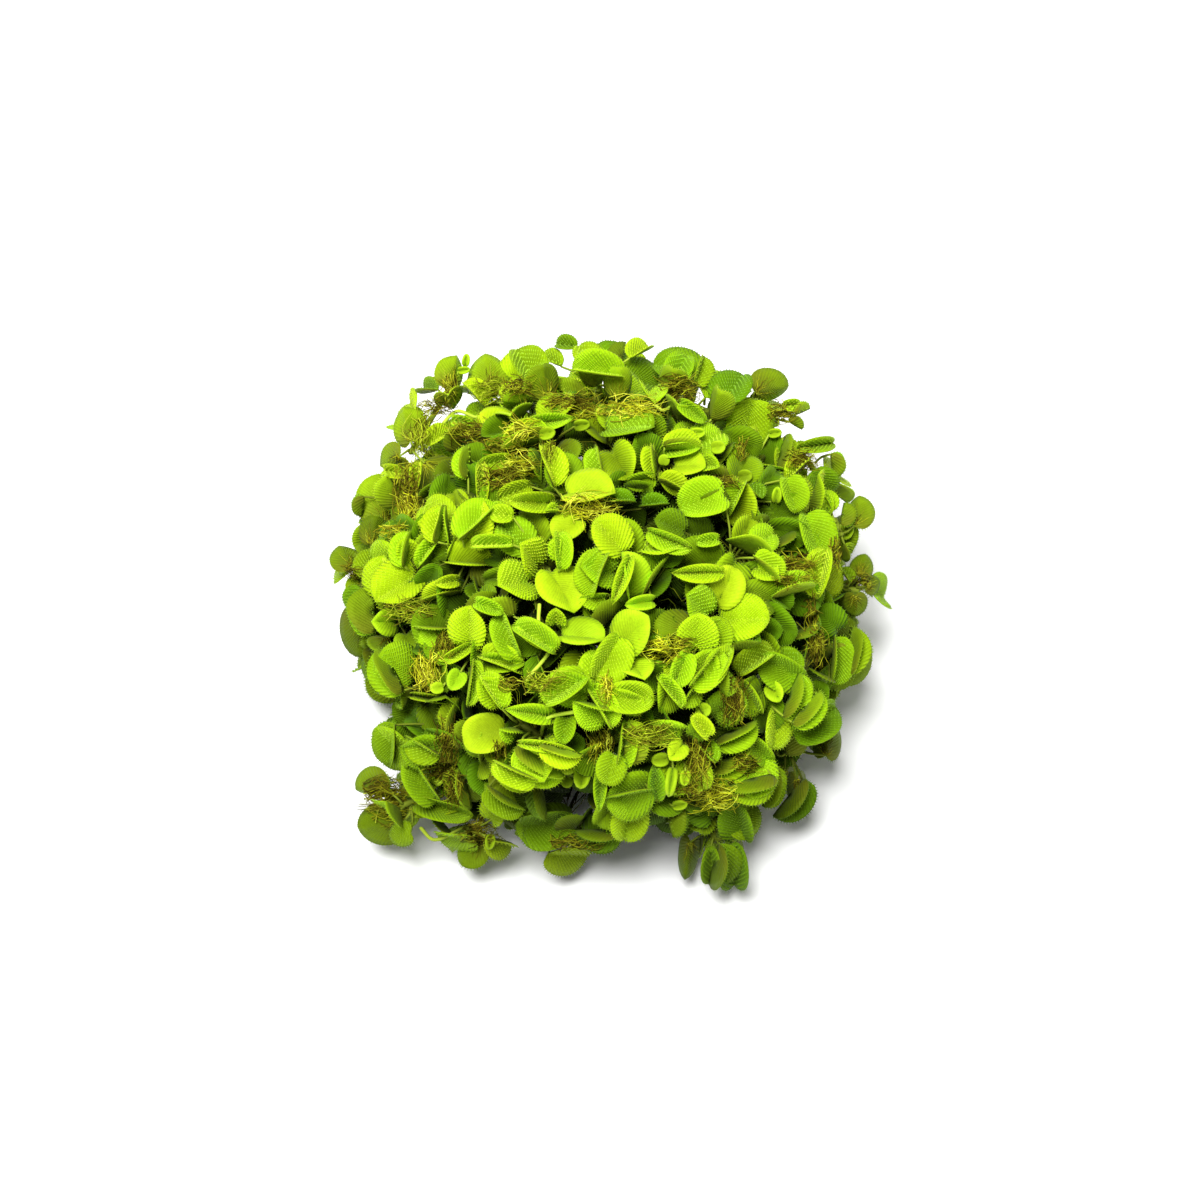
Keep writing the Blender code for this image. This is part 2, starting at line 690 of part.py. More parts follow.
def padded_stalk(start, end, gap):
    """A thin closed tube along a stalk, for testing the room it needs."""
    heading = (end - start).normalized()
    side = heading.orthogonal().normalized()
    rise = heading.cross(side)
    radius = STALK_RADIUS + gap
    points = []
    for middle in (start, end):
        for k in range(3):
            angle = math.tau * k / 3
            points.append(middle + (side * math.cos(angle) + rise * math.sin(angle)) * radius)
    faces = [(k, (k + 1) % 3, 3 + (k + 1) % 3, 3 + k) for k in range(3)]
    return points, faces + [(0, 2, 1), (3, 4, 5)]


def tuft_points(start, tip, radius):
    """A ring of three points and the tip of a root tuft."""
    heading = (tip - start).normalized()
    side = heading.orthogonal().normalized()
    rise = heading.cross(side)
    points = []
    for k in range(3):
        angle = math.tau * k / 3
        spoke = side * math.cos(angle) + rise * math.sin(angle)
        points.append(start.lerp(tip, TUFT_WIDEST) + spoke * radius)
    return points + [tip]


class Solid:
    """Faces of a placed mesh, with their search tree and box."""

    def __init__(self, points, faces, owner=None):
        self.owner = owner
        self.tree = BVHTree.FromPolygons(points, faces)
        used = [points[i] for i in {i for face in faces for i in face}]
        self.low = Vector([min(p[i] for p in used) for i in range(3)])
        self.high = Vector([max(p[i] for p in used) for i in range(3)])

    def near(self, other):
        return all(
            self.low[i] <= other.high[i] and other.low[i] <= self.high[i] for i in range(3)
        )

    def meets(self, other):
        return self.near(other) and bool(self.tree.overlap(other.tree))


class Plant:
    """A growing mesh: the stem first, then tufts and leaves drawn out of its faces."""

    def __init__(self, name, path):
        self.name = name
        self.path = path
        self.points, faces = stem_shape(path)
        self.faces = dict(enumerate(faces))
        self.stem_faces = dict(self.faces)
        self.solids = [Solid(self.points, faces, self)]
        self.blades = []
        self.tufts = []

    def face_towards(self, target):
        """The free stem face that best looks towards a point, and its middle."""
        best, least = None, math.inf
        for key, face in self.stem_faces.items():
            a, b, c = (self.points[i] for i in face)
            middle = (a + b + c) / 3
            normal = (b - a).cross(c - a).normalized()
            way = target - middle
            facing = normal.dot(way.normalized())
            cost = way.length - 3 * MM * facing
            if facing > 0.15 and cost < least:
                best, least = (key, middle + normal * (0.35 * MM)), cost
        return best

    def grown(self, key, ring, rest, make_faces):
        """Points and faces of a part drawn out of a stem face, turned to twist the least."""
        face = self.stem_faces[key]
        first = len(self.points)

        def twist(turn):
            return sum(
                (self.points[face[(i + turn) % 3]] - ring[i]).length_squared for i in range(3)
            )

        turn = min(range(3), key=twist)
        points = list(ring) + list(rest)
        faces = []
        for i in range(3):
            a, b = face[(i + turn) % 3], face[(i + turn + 1) % 3]
            c, d = first + (i + 1) % 3, first + i
            faces += [(a, b, c), (a, c, d)]
        return points, faces + make_faces(first)

    def crosses_itself(self, points, faces, key):
        """True if new faces cut the plant's own faces that they share no point with."""
        everything = self.points + points
        old = [face for k, face in self.faces.items() if k != key]
        old_tree = BVHTree.FromPolygons(everything, old)
        new_tree = BVHTree.FromPolygons(everything, faces)
        return any(
            not set(old[i]) & set(faces[j]) for i, j in old_tree.overlap(new_tree)
        )

    def accept(self, key, points, faces):
        del self.faces[key], self.stem_faces[key]
        self.points += points
        at = max(self.faces) + 1
        self.faces.update({at + i: face for i, face in enumerate(faces)})
        self.solids.append(Solid(self.points, faces, self))


def variants():
    """Small changes to a blade, the least first: slide, tilt, turn and size."""
    slides = (0, 1.2, -1.2, 2.4, -2.4, 3.8, -3.8, 5.5, -5.5)
    tilts = (0, 14, -14, 28, -28)
    turns = (0, 20, -20, 42, -42)
    found = [
        (abs(s) + abs(t) / 9 + abs(r) / 12 + (1 - k) * 22, s * MM, t, r, k)
        for s in slides
        for t in tilts
        for r in turns
        for k in (1, 0.9, 0.78)
    ]
    return sorted(found)


VARIANTS = variants()


def changed(blade, slide, tilt, turn, scale):
    """A blade slid along its way, tilted about its width, turned and scaled."""
    across = blade.along.cross(blade.upper)
    lean = Matrix.Rotation(math.radians(tilt), 3, across)
    along = (lean @ blade.along).normalized()
    upper = Matrix.Rotation(math.radians(turn), 3, along) @ (lean @ blade.upper)
    middle = blade.middle + blade.way * slide
    return blade._replace(
        middle=middle, along=along, upper=upper.normalized(), length=blade.length * scale
    )


def try_blade(plant, blade, others, gap, floor):
    """The grown points and faces if the blade fits where it is, or None."""
    stalk, rim = blade_points(blade)
    if min(p.z for p in stalk + rim) < floor:
        return None
    base = (stalk[0] + stalk[1] + stalk[2]) / 3
    chosen = plant.face_towards(base)
    if chosen is None:
        return None
    key, start = chosen
    if (base - start).length < 0.5 * MM:
        return None
    slab = Solid(*padded_blade(blade, gap))
    tube = Solid(*padded_stalk(start, base, gap))
    for solid in others:
        if solid.owner is plant:
            continue
        if slab.meets(solid) or tube.meets(solid):
            return None
    slim = Solid(*padded_blade(blade, OWN_GAP))
    if any(slim.meets(solid) for solid in plant.solids):
        return None
    points, faces = plant.grown(key, stalk, rim, blade_faces)
    whole = Solid(plant.points + points, faces)
    if any(solid.owner is not plant and whole.meets(solid) for solid in others):
        return None
    if plant.crosses_itself(points, faces, key):
        return None
    return key, points, faces


def place_blade(plant, blade, others, floor=FLOOR_GAP):
    """Adds a leaf with the least change that gives it room. Returns whether it found room."""
    reach = blade.length * 1.3 + 8 * MM
    near = [
        s
        for s in others
        if all(s.low[i] - reach < blade.middle[i] < s.high[i] + reach for i in range(3))
    ]
    for gap in (WIDE_GAP, LEAST_GAP):
        for _, slide, tilt, turn, scale in VARIANTS:
            if gap == WIDE_GAP and abs(slide) > 2.5 * MM:
                continue
            tried = changed(blade, slide, tilt, turn, scale)
            fitted = try_blade(plant, tried, near, gap, floor)
            if fitted:
                plant.accept(*fitted)
                plant.blades.append(tried)
                others.append(plant.solids[-1])
                return True
    return False


def tuft_faces(first):
    """Faces of a root tuft from its ring of three to its tip."""
    return [(first + i, first + (i + 1) % 3, first + 3) for i in range(3)]


def place_tuft(plant, tip, radius, others):
    """Adds a root tuft that ends at tip, shorter where something is in its way."""
    for share in (1, 0.8, 0.6, 0.45):
        for slim in (1, 0.65):
            chosen = plant.face_towards(tip)
            if chosen is None:
                return False
            key, start = chosen
            end = start.lerp(tip, share)
            padded = tuft_points(start, end, radius * slim + LEAST_GAP)
            points, faces = plant.grown(key, padded[:3], padded[3:], tuft_faces)
            around = Solid(plant.points + points, faces)
            if min(p.z for p in points) < FLOOR_GAP:
                continue
            if any(s.owner is not plant and around.meets(s) for s in others):
                continue
            rings = tuft_points(start, end, radius * slim)
            points, faces = plant.grown(key, rings[:3], rings[3:], tuft_faces)
            if plant.crosses_itself(points, faces, key):
                continue
            plant.accept(key, points, faces)
            plant.tufts.append((start, end, radius * slim))
            others.append(plant.solids[-1])
            return True
    return False


def filling_blades(plant, count):
    """Lower leaves of a plant in the picture, spread over the ways that its others leave free."""
    root = plant.path[len(plant.path) // 2]
    out = outward(root)
    side = out.orthogonal().normalized()
    rise = out.cross(side)
    taken = [(blade.middle - root).normalized() for blade in plant.blades]
    ways = []
    for k in range(12):
        angle = math.tau * k / 12
        way = side * math.cos(angle) + rise * math.sin(angle)
        ways.append((max([way.dot(t) for t in taken] or [0]), k, way))
    blades = []
    for _, _, flat in sorted(ways, key=lambda entry: entry[:2])[:count]:
        lean = math.radians(22)
        along = flat * math.cos(lean) + out * math.sin(lean)
        upper = out * math.cos(lean) - flat * math.sin(lean)
        middle = root + along * (FILLING_BLADE / 2 + 3 * MM)
        blades.append(
            Blade(middle, along, upper, FILLING_BLADE, math.radians(20), OPEN, DARK, out)
        )
    return blades


def hidden_path(turn, rise, depth):
    """Points of a stem that runs level round the mound; turn 0 is straight behind."""
    half = shrunk(depth)
    step = HIDDEN_STEP / (half.x * math.cos(rise))
    path = []
    for i in range(HIDDEN_NODES):
        angle = turn + (i - (HIDDEN_NODES - 1) / 2) * step
        sway = rise + math.radians(3) * math.sin(2 * i + 5 * turn)
        level = math.cos(sway)
        place = (math.sin(angle) * level, math.cos(angle) * level, math.sin(sway))
        path.append(MOUND_CENTRE + Vector([a * b for a, b in zip(place, half)]))
    return path


def free_stem(name, turn, rise, solids):
    """A plant on the mound's back, whose stem is moved a little where others are in its way."""
    for deeper in (0, 2.5 * MM, 5 * MM):
        for higher in (0, -4, 4, -8):
            path = hidden_path(turn, rise + math.radians(higher), STEM_DEPTH + deeper)
            plant = Plant(name, path)
            if not any(plant.solids[0].meets(solid) for solid in solids):
                solids.append(plant.solids[0])
                return plant
    raise ValueError(f"no room for the stem of {name}")


def hidden_blades(path, chance):
    """Leaf pairs along a stem, leaning outwards by turns less and more."""
    blades = []
    for i, node in enumerate(path):
        out = outward(node)
        heading = (path[-1] - path[0]).normalized()
        side = out.cross(heading).normalized()
        for hand in (1, -1):
            lean = math.radians((26 if i % 2 else 58) + chance.uniform(-9, 9))
            flat = (side * hand + heading * chance.uniform(-0.35, 0.35)).normalized()
            along = flat * math.cos(lean) + out * math.sin(lean)
            upper = out * math.cos(lean) - flat * math.sin(lean)
            length = HIDDEN_BLADE * chance.uniform(0.78, 1)
            middle = node + along * (length / 2 + 3.2 * MM) + out * (1.2 * MM)
            fold = math.radians(chance.uniform(14, 48))
            tone = chance.choice((MID, DARK, BRIGHT))
            blades.append(Blade(middle, along, upper, length, fold, OPEN, tone, out))
    out, heading = outward(path[-1]), (path[-1] - path[-2]).normalized()
    along = (heading + out * 0.5).normalized()
    upper = (out - heading * 0.5).normalized()
    middle = path[-1] + along * (HIDDEN_BLADE / 2 + 3 * MM)
    blades.append(Blade(middle, along, upper, HIDDEN_BLADE, 0.4, OPEN, MID, out))
    return blades


def under_path(turn):
    """Points of a short level stem close over the floor."""
    away = Vector((math.cos(turn), math.sin(turn), 0))
    middle = away * UNDER_RADIUS + Vector((0, 0, UNDER_HEIGHT))
    return [middle - away * (STEM_STEP / 2), middle + away * (STEM_STEP / 2)]


def level_blade(path, bearing, height, lean, length, fold):
    """A blade that leaves a level stem at a bearing, and lies flat where it has no lean."""
    root = (path[0] + path[-1]) / 2
    flat = Vector((math.cos(bearing), math.sin(bearing), 0))
    up = Vector((0, 0, 1))
    along = flat * math.cos(lean) + up * math.sin(lean)
    upper = up * math.cos(lean) - flat * math.sin(lean)
    middle = Vector((root.x, root.y, height)) + flat * (length / 2 + 5.5 * MM)
    return Blade(middle, along, upper, length, fold, OPEN, DARK, up)


def place_resting(plant, bearing, solids):
    """Adds a leaf that lies with its flat underside on the floor."""
    for swing in (0, 14, -14, 28, -28, 40, -40):
        turned = bearing + math.radians(swing)
        blade = level_blade(plant.path, turned, 0, 0, HIDDEN_BLADE * 0.92, 0)
        fitted = try_blade(plant, blade, solids, LEAST_GAP, 0)
        if fitted:
            plant.accept(*fitted)
            plant.blades.append(blade)
            solids.append(plant.solids[-1])
            return


def grow_clump():
    """All the plants, placed so that none runs into another."""
    chance = random.Random(12)
    seen = [Plant(name, stem_path(stem)) for name, (stem, _, _) in PLANTS.items()]
    under = []
    for i in range(UNDER_COUNT):
        turn = math.tau * (i + 0.5) / UNDER_COUNT
        under.append(Plant(f"under_plant_{i + 1:02d}", under_path(turn)))
    solids = [plant.solids[0] for plant in seen + under]
    hidden = []
    for row in HIDDEN_ROWS:
        for i in range(row.count):
            turn = math.radians(row.spread * (i / (row.count - 1) * 2 - 1))
            name = f"back_plant_{len(hidden) + 1:02d}"
            hidden.append(free_stem(name, turn, math.radians(row.rise), solids))
    for i, plant in enumerate(under):
        for quarter in range(4):
            place_resting(plant, math.tau * (quarter + i / 2 + 0.25) / 4, solids)
    for plant, (_, _, roots) in zip(seen, PLANTS.values()):
        for x, y, wide, tall in roots[:1]:
            middle = on_mound(x, y, 2 * MM, 3 * MM)
            root_x, root_y = picture_place(plant.path[0])
            dx, dy = (1, 0) if wide > tall else (0, -1)
            sign = 1 if dx * (x - root_x) + dy * (y - root_y) >= 0 else -1
            half = max(wide, tall) / 2 * PICTURE_UNIT * sign
            tip = middle + RIGHT * (dx * half) - UPWARD * (dy * half)
            place_tuft(plant, tip, 1.5 * MM, solids)
    for plant in seen + hidden + under:
        root = plant.path[len(plant.path) // 2]
        inward = (MOUND_CENTRE - root).normalized()
        place_tuft(plant, root + inward * TUFT_LENGTH, TUFT_RADIUS, solids)
    waiting = []
    for plant, (_, leaves, _) in zip(seen, PLANTS.values()):
        stem = [plant.path[0], plant.path[-1]] if len(plant.path) > 2 else [plant.path[0]]
        for leaf in leaves:
            if leaf.kind != BUD:
                rank = LAYER[leaf.tone] + (leaf.wide * leaf.tall) ** 0.5 * 0.05 * MM
                waiting.append((-rank, len(waiting), plant, seen_blade(leaf, stem)))
    waiting.sort(key=lambda entry: entry[:2])
    left_out = sum(not place_blade(plant, blade, solids) for _, _, plant, blade in waiting)
    for plant in hidden:
        for blade in hidden_blades(plant.path, chance):
            left_out += not place_blade(plant, blade, solids)
    for plant in seen:
        for blade in filling_blades(plant, FILLING_LEAVES):
            left_out += not place_blade(plant, blade, solids)
    for i, plant in enumerate(under):
        for k in range(UNDER_LEAVES - 4):
            bearing = math.tau * (k + 0.3 * i) / (UNDER_LEAVES - 4)
            lean = math.radians(chance.uniform(12, 45))
            height = chance.uniform(4, 8) * MM
            length = HIDDEN_BLADE * chance.uniform(0.8, 1)
            blade = level_blade(plant.path, bearing, height, lean, length, 0.4)
            left_out += not place_blade(plant, blade, solids)
    return seen + hidden + under, left_out


def leaf_material(name, colour):
    material = bpy.data.materials.new(name)
    material.use_nodes = True
    shader = material.node_tree.nodes["Principled BSDF"]
    shader.inputs["Base Color"].default_value = colour
    shader.inputs["Roughness"].default_value = LEAF_ROUGHNESS
    material.diffuse_color = colour
    return material


def make_object(plant, shift):
    """One Blender object from a grown plant."""
    mesh = bpy.data.meshes.new(plant.name)
    shape = bmesh.new()
    corners = []
    for point in plant.points:
        rounded = [round(value / CORNER_GRID) * CORNER_GRID for value in point + shift]
        corners.append(shape.verts.new(rounded))
    from_the_top = sorted(
        plant.faces.values(), key=lambda face: -sum(plant.points[i].z for i in face)
    )
    for face in from_the_top:
        shape.faces.new([corners[i] for i in face])
    bmesh.ops.recalc_face_normals(shape, faces=shape.faces)
    if shape.calc_volume(signed=True) < 0:
        bmesh.ops.reverse_faces(shape, faces=shape.faces)
    shape.to_mesh(mesh)
    shape.free()
    kind = plant.name.rsplit("_", 1)[0]
    mesh.materials.append(leaf_material(plant.name + "_green", COLOURS[kind]))
    placed = bpy.data.objects.new(plant.name, mesh)
    bpy.context.scene.collection.objects.link(placed)


def main():
    for old in list(bpy.data.objects):
        bpy.data.objects.remove(old, do_unlink=True)
    plants, left_out = grow_clump()
    points = [p for plant in plants for p in plant.points]
    low = [min(p[i] for p in points) for i in range(2)]
    high = [max(p[i] for p in points) for i in range(2)]
    shift = Vector((-(low[0] + high[0]) / 2, -(low[1] + high[1]) / 2, 0))
    for plant in plants:
        make_object(plant, shift)
    print(f"{len(plants)} plants, {sum(len(p.blades) for p in plants)} leaves, "
          f"{left_out} found no room, {sum(len(p.faces) for p in plants)} faces, "
          f"shifted by {shift.x / MM:.2f}, {shift.y / MM:.2f} mm")


main()
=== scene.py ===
"""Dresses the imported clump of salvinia.

Each plant of the frame keeps its place, and its plain solid is replaced by one piece: leaves
with rows of hairs, thin stalks, a stem and root-like fronds. What is too fine or too small for
the solids is added to the piece of the plant nearest to it: leaves that fill the mound, and
folded leaves in front, buds, tangles of fronds and loose stems where the picture shows them.
"""

import math
import random
from collections import Counter, defaultdict
from typing import NamedTuple

import bpy
import numpy as np
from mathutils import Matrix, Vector
from mathutils.bvhtree import BVHTree
from mathutils.kdtree import KDTree


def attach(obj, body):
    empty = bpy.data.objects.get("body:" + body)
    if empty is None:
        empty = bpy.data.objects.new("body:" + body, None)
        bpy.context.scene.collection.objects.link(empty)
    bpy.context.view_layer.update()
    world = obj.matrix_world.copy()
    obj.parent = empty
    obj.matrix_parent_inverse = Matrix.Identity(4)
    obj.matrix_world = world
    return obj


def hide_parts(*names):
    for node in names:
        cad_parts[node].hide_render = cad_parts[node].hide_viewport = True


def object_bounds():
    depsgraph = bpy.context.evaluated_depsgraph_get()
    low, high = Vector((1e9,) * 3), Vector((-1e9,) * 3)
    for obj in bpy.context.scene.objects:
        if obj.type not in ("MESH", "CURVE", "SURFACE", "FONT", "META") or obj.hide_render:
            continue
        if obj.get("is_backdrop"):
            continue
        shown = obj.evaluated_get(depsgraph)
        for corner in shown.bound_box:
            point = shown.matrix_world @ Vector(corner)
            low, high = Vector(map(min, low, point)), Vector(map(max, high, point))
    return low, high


MM = 0.001

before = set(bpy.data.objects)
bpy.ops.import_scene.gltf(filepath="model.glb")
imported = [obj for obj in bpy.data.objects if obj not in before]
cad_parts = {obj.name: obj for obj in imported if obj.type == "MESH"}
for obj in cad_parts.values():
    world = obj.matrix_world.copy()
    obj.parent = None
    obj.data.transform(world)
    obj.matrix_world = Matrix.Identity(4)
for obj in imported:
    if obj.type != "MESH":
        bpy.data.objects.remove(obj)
cad_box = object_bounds()

# The mound, as in the solids
MOUND_HEIGHT = 31 * MM
CANOPY_HALF_AXES = Vector((61 * MM, 66 * MM, 46 * MM))

# How the picture was taken
VIEW_RISE = math.radians(55)
VIEW_DISTANCE = 737 * MM
LENS_MM, SENSOR_MM = 85, 36
PICTURE_SIDE = 1200
PICTURE_UNIT = 0.26 * MM  # one pixel of the picture, at the mound's centre
PICTURE_CENTRE_X, PICTURE_CENTRE_Y = 605, 612
PICTURE_COLUMNS, PICTURE_ROWS = (335, 880), (345, 885)  # that show the mound
RIGHT = Vector((1, 0, 0))
UPWARD = Vector((0, math.sin(VIEW_RISE), math.cos(VIEW_RISE)))
TO_EYE = Vector((0, -math.cos(VIEW_RISE), math.sin(VIEW_RISE)))

# Floor and light
FLOOR_HALF = 20  # metres
FLOOR_COLOUR = (0.97, 0.97, 0.97, 1)
LIGHT_FROM = Vector((-0.17, -0.24, 1))
SUN_STRENGTH, SUN_SOFTNESS = 3.6, math.radians(26)
SKY_LOW, SKY_HIGH = 0.8, 0.27  # the room's own light, near the floor and overhead
CONTRAST, EXPOSURE = 0.96, 0.17

# Heights above the floor
RESTING = 1 * MM  # growth that comes nearer flattens against the floor
LOWEST_SIGHT = 2.5 * MM  # sight lines that meet the mound no higher end here
LOWEST_LEAF = 1.5 * MM
LOWEST_FROND = 0.4 * MM

# Painted shade: growth's colour is darker below the mound's surface and near the floor
SHADE_START, SHADE_DEPTH = 0.5 * MM, 9 * MM
SHADE_LEAST, SHADE_MOST = 0.2, 1.1
FLOOR_LIGHT, ADDED_LIGHT, LIT_HEIGHT = 0.25, 0.87, 56 * MM
SKYWARD = 0.45  # how far a leaf's light comes from above, against 1 from outside

# How many triangles meet in the solids' points: in a leaf's tip, in the ends of its rim and in a
# tuft's tip, and in a tuft's ring; and how many points a stem's ring has
TIP_FACES, END_FACES, RING_FACES, STEM_POINTS = 7, 3, 5, 5
WELD = 0.01 * MM

# A leaf
HALF_WIDTH = 0.49  # of its length
RIM_STEPS = 24
RINGS = (0.38, 0.74, 1.0)
BASE_NOTCH, BASE_SPREAD = 0.2, math.radians(20)
TIP_NOTCH, TIP_SPREAD = 0.06, math.radians(13)
BLUNT = 0.012  # how much fuller than an oval a leaf is at its corners
LEAF_THICKNESS = 0.55 * MM
LENGTH_EXCESS, FOLD_EXCESS = 1.03, 0.2  # over the solid's leaf
FOLDED = 0.5  # radians from which a leaf counts as folded
OPEN_BENDS = ((0.12, 0.5), (-0.14, 0.02))  # ranges of droop and bow
FOLDED_BENDS = ((-0.3, 0.2), (-0.05, 0.08))
AWAY = -0.15  # leaves that face the light less than this are turned over
RUFFLE = (0.005, 0.028)
STALK_RADIUS, STALK_SAG = 0.36 * MM, 0.25 * MM
STEM_RADIUS = 0.8 * MM
UNDER_RIDGE = 0.6  # how much of the rows shows in the underside

# Hairs: a foot's reach behind, ahead and aside, and the height
SINGLE_HAIR = (0.13 * MM, 0.17 * MM, 0.14 * MM, 0.5 * MM)
DASH_HAIR = (0.36 * MM, 0.36 * MM, 0.13 * MM, 0.36 * MM)
SINGLE_HAIR_SHARE = 0.4  # of the leaves
ROW_PITCH = 0.66 * MM  # along the midrib
ROW_SLOPE, ROW_FAN = 0.3, 1.7  # of the first row, and how much more the last one has
FIRST_ROW, LAST_ROW, ROW_HAIRS = -3, 21, 11
ROWS_REACH = 0.93  # of the rim's
ROWS_DEPTH = 3.5 * MM  # leaves deeper in the mound have no rows
HAIR_STEP = 1.02 * MM
HAIR_STRAY, HAIR_LEAN = 0.07 * MM, 0.22 * MM
MARGIN_PITCH = 0.74 * MM
MARGIN_HAIR, MARGIN_HALF = 0.7 * MM, 0.12 * MM
MARGIN_REACH = 0.985

# Root-like fronds
FROND_RADIUS = 0.1 * MM
FROND_STEPS = 7
TUFT_FRONDS = 17
UNDERSIDE_FRONDS, UNDERSIDE_SPREAD = 18, 0.9
INNER_FRONDS = 560
CLUMP_RADIUS = 0.11 * MM
CLUMP_RELIEF = 3 * MM
STRAND_GAP = 0.25 * MM

# Leaves that fill the mound: how deep a ray gets before it needs one, the depths where it may
# lie, and how much of its round must be free
FILL_PASSES = (
    (10 * MM, (4 * MM, 9 * MM), 1.0),
    (15 * MM, (8 * MM, 14 * MM), 0.85),
    (28 * MM, (15 * MM, 26 * MM), 0.6),
)
FILL_PIXELS, PLUG_PIXELS = 11, 6  # between sight lines
FILL_TRIES = 14
FILL_TILT = 0.5
FILL_LENGTHS = (9.5 * MM, 12.5 * MM)
FILL_OVERHANG = 1.5 * MM  # past the mound's surface
GAP_DEPTH = 14 * MM  # deeper leaves may show in the dark gaps
PLUG_DEPTHS, PLUG_APART = (4 * MM, 22 * MM), 4 * MM
OUTER_RAYS, OUTER_SLANT, OUTER_START = 1100, 0.55, 12 * MM
MISSED = 8 * MM  # a sight line that gets this far below the mound's surface meets nothing
FRONT_LIFT, BUD_LIFT, STEM_LIFT = 1.5 * MM, 1.3 * MM, 0.6 * MM  # above what lies behind

# Where the picture shows the mound
OUTLINE = (
    (432, 382), (462, 360), (524, 354), (545, 372), (572, 341), (648, 342), (690, 358), (728, 374),
    (768, 380), (804, 400), (806, 432), (832, 442), (840, 490), (862, 506), (852, 560), (878, 572),
    (858, 640), (852, 680), (838, 730), (802, 758), (804, 806), (780, 816), (757, 800), (745, 876),
    (712, 884), (686, 874), (680, 838), (640, 812), (600, 852), (572, 866), (540, 842), (505, 850),
    (482, 862), (455, 838), (370, 832), (360, 782), (398, 766), (382, 740), (396, 700), (352, 644),
    (368, 592), (332, 560), (358, 540), (362, 482), (398, 436), (402, 412),
)
OPENINGS = ((580, 801, 15), (470, 411, 7), (728, 399, 6))  # middle and half-width

# Dark gaps between the leaves: middle and half-width
GAPS = (
    (572, 442, 13), (593, 465, 8), (525, 525, 13), (471, 503, 8), (476, 590, 11), (480, 450, 6),
    (582, 546, 8), (670, 511, 16), (648, 520, 9), (704, 526, 10), (735, 546, 9), (626, 495, 7),
    (664, 602, 10), (527, 608, 12), (500, 702, 8), (520, 688, 12), (588, 718, 12), (514, 820, 9),
    (560, 800, 8), (450, 745, 11), (672, 709, 13), (735, 655, 13), (706, 746, 13), (745, 764, 11),
    (690, 768, 7), (795, 652, 8), (661, 770, 7), (480, 706, 8), (684, 384, 12), (804, 458, 10),
)

# Young leaves that are smooth and lime in the picture
YOUNG = (
    (562, 386), (497, 423), (688, 466), (587, 492), (568, 527), (600, 528), (385, 622), (408, 643),
    (561, 590), (624, 577), (640, 603), (728, 576), (750, 543), (800, 613), (580, 637), (632, 633),
    (636, 669), (456, 680), (568, 762), (775, 693), (485, 742), (677, 751),
)

# Leaves that are dark, and leaves between dark and bright
DARK = (
    (433, 392), (568, 346), (609, 358), (640, 382), (672, 430), (728, 440), (743, 392), (820, 482),
    (798, 452), (611, 357), (682, 362), (363, 505), (392, 532), (455, 435), (455, 490), (645, 430),
    (655, 490), (752, 495), (765, 490), (620, 505), (655, 507), (478, 590), (373, 532), (361, 630),
    (357, 600), (412, 664), (672, 526), (695, 535), (745, 650), (862, 566), (872, 584), (855, 604),
    (846, 577), (655, 650), (390, 690), (432, 716), (408, 700), (548, 700), (787, 667), (841, 626),
    (796, 641), (470, 808), (508, 787), (546, 790), (600, 832), (668, 820), (699, 729), (725, 706),
    (806, 720), (828, 740), (783, 783), (797, 796),
)
MIDDLING = (
    (392, 460), (519, 372), (537, 383), (553, 363), (588, 357), (680, 370), (697, 372), (770, 389),
    (748, 420), (802, 412), (795, 425), (812, 446), (832, 464), (526, 447), (563, 457), (562, 485),
    (627, 428), (712, 512), (783, 462), (775, 521), (813, 535), (842, 515), (856, 512), (843, 550),
    (500, 513), (371, 566), (346, 558), (374, 612), (383, 645), (600, 570), (698, 606), (712, 640),
    (836, 605), (400, 668), (573, 685), (565, 730), (715, 681), (688, 694), (751, 697), (789, 692),
    (752, 662), (829, 664), (848, 661), (818, 630), (396, 745), (424, 748), (455, 716), (401, 834),
    (496, 810), (546, 823), (610, 768), (600, 792), (630, 793), (643, 746), (705, 755), (783, 737),
    (738, 817), (711, 862), (736, 860), (688, 858),
)

# Leaves that show their underside
UNDERSIDES = (
    (452, 372), (450, 400), (408, 427), (392, 460), (436, 475), (488, 375), (519, 372), (609, 358),
    (770, 389), (743, 392), (383, 502), (427, 511), (563, 457), (856, 512), (346, 558), (373, 532),
    (361, 630), (680, 631), (862, 566), (872, 584), (841, 626), (467, 784), (375, 790), (384, 823),
    (473, 851), (828, 740), (703, 818),
)

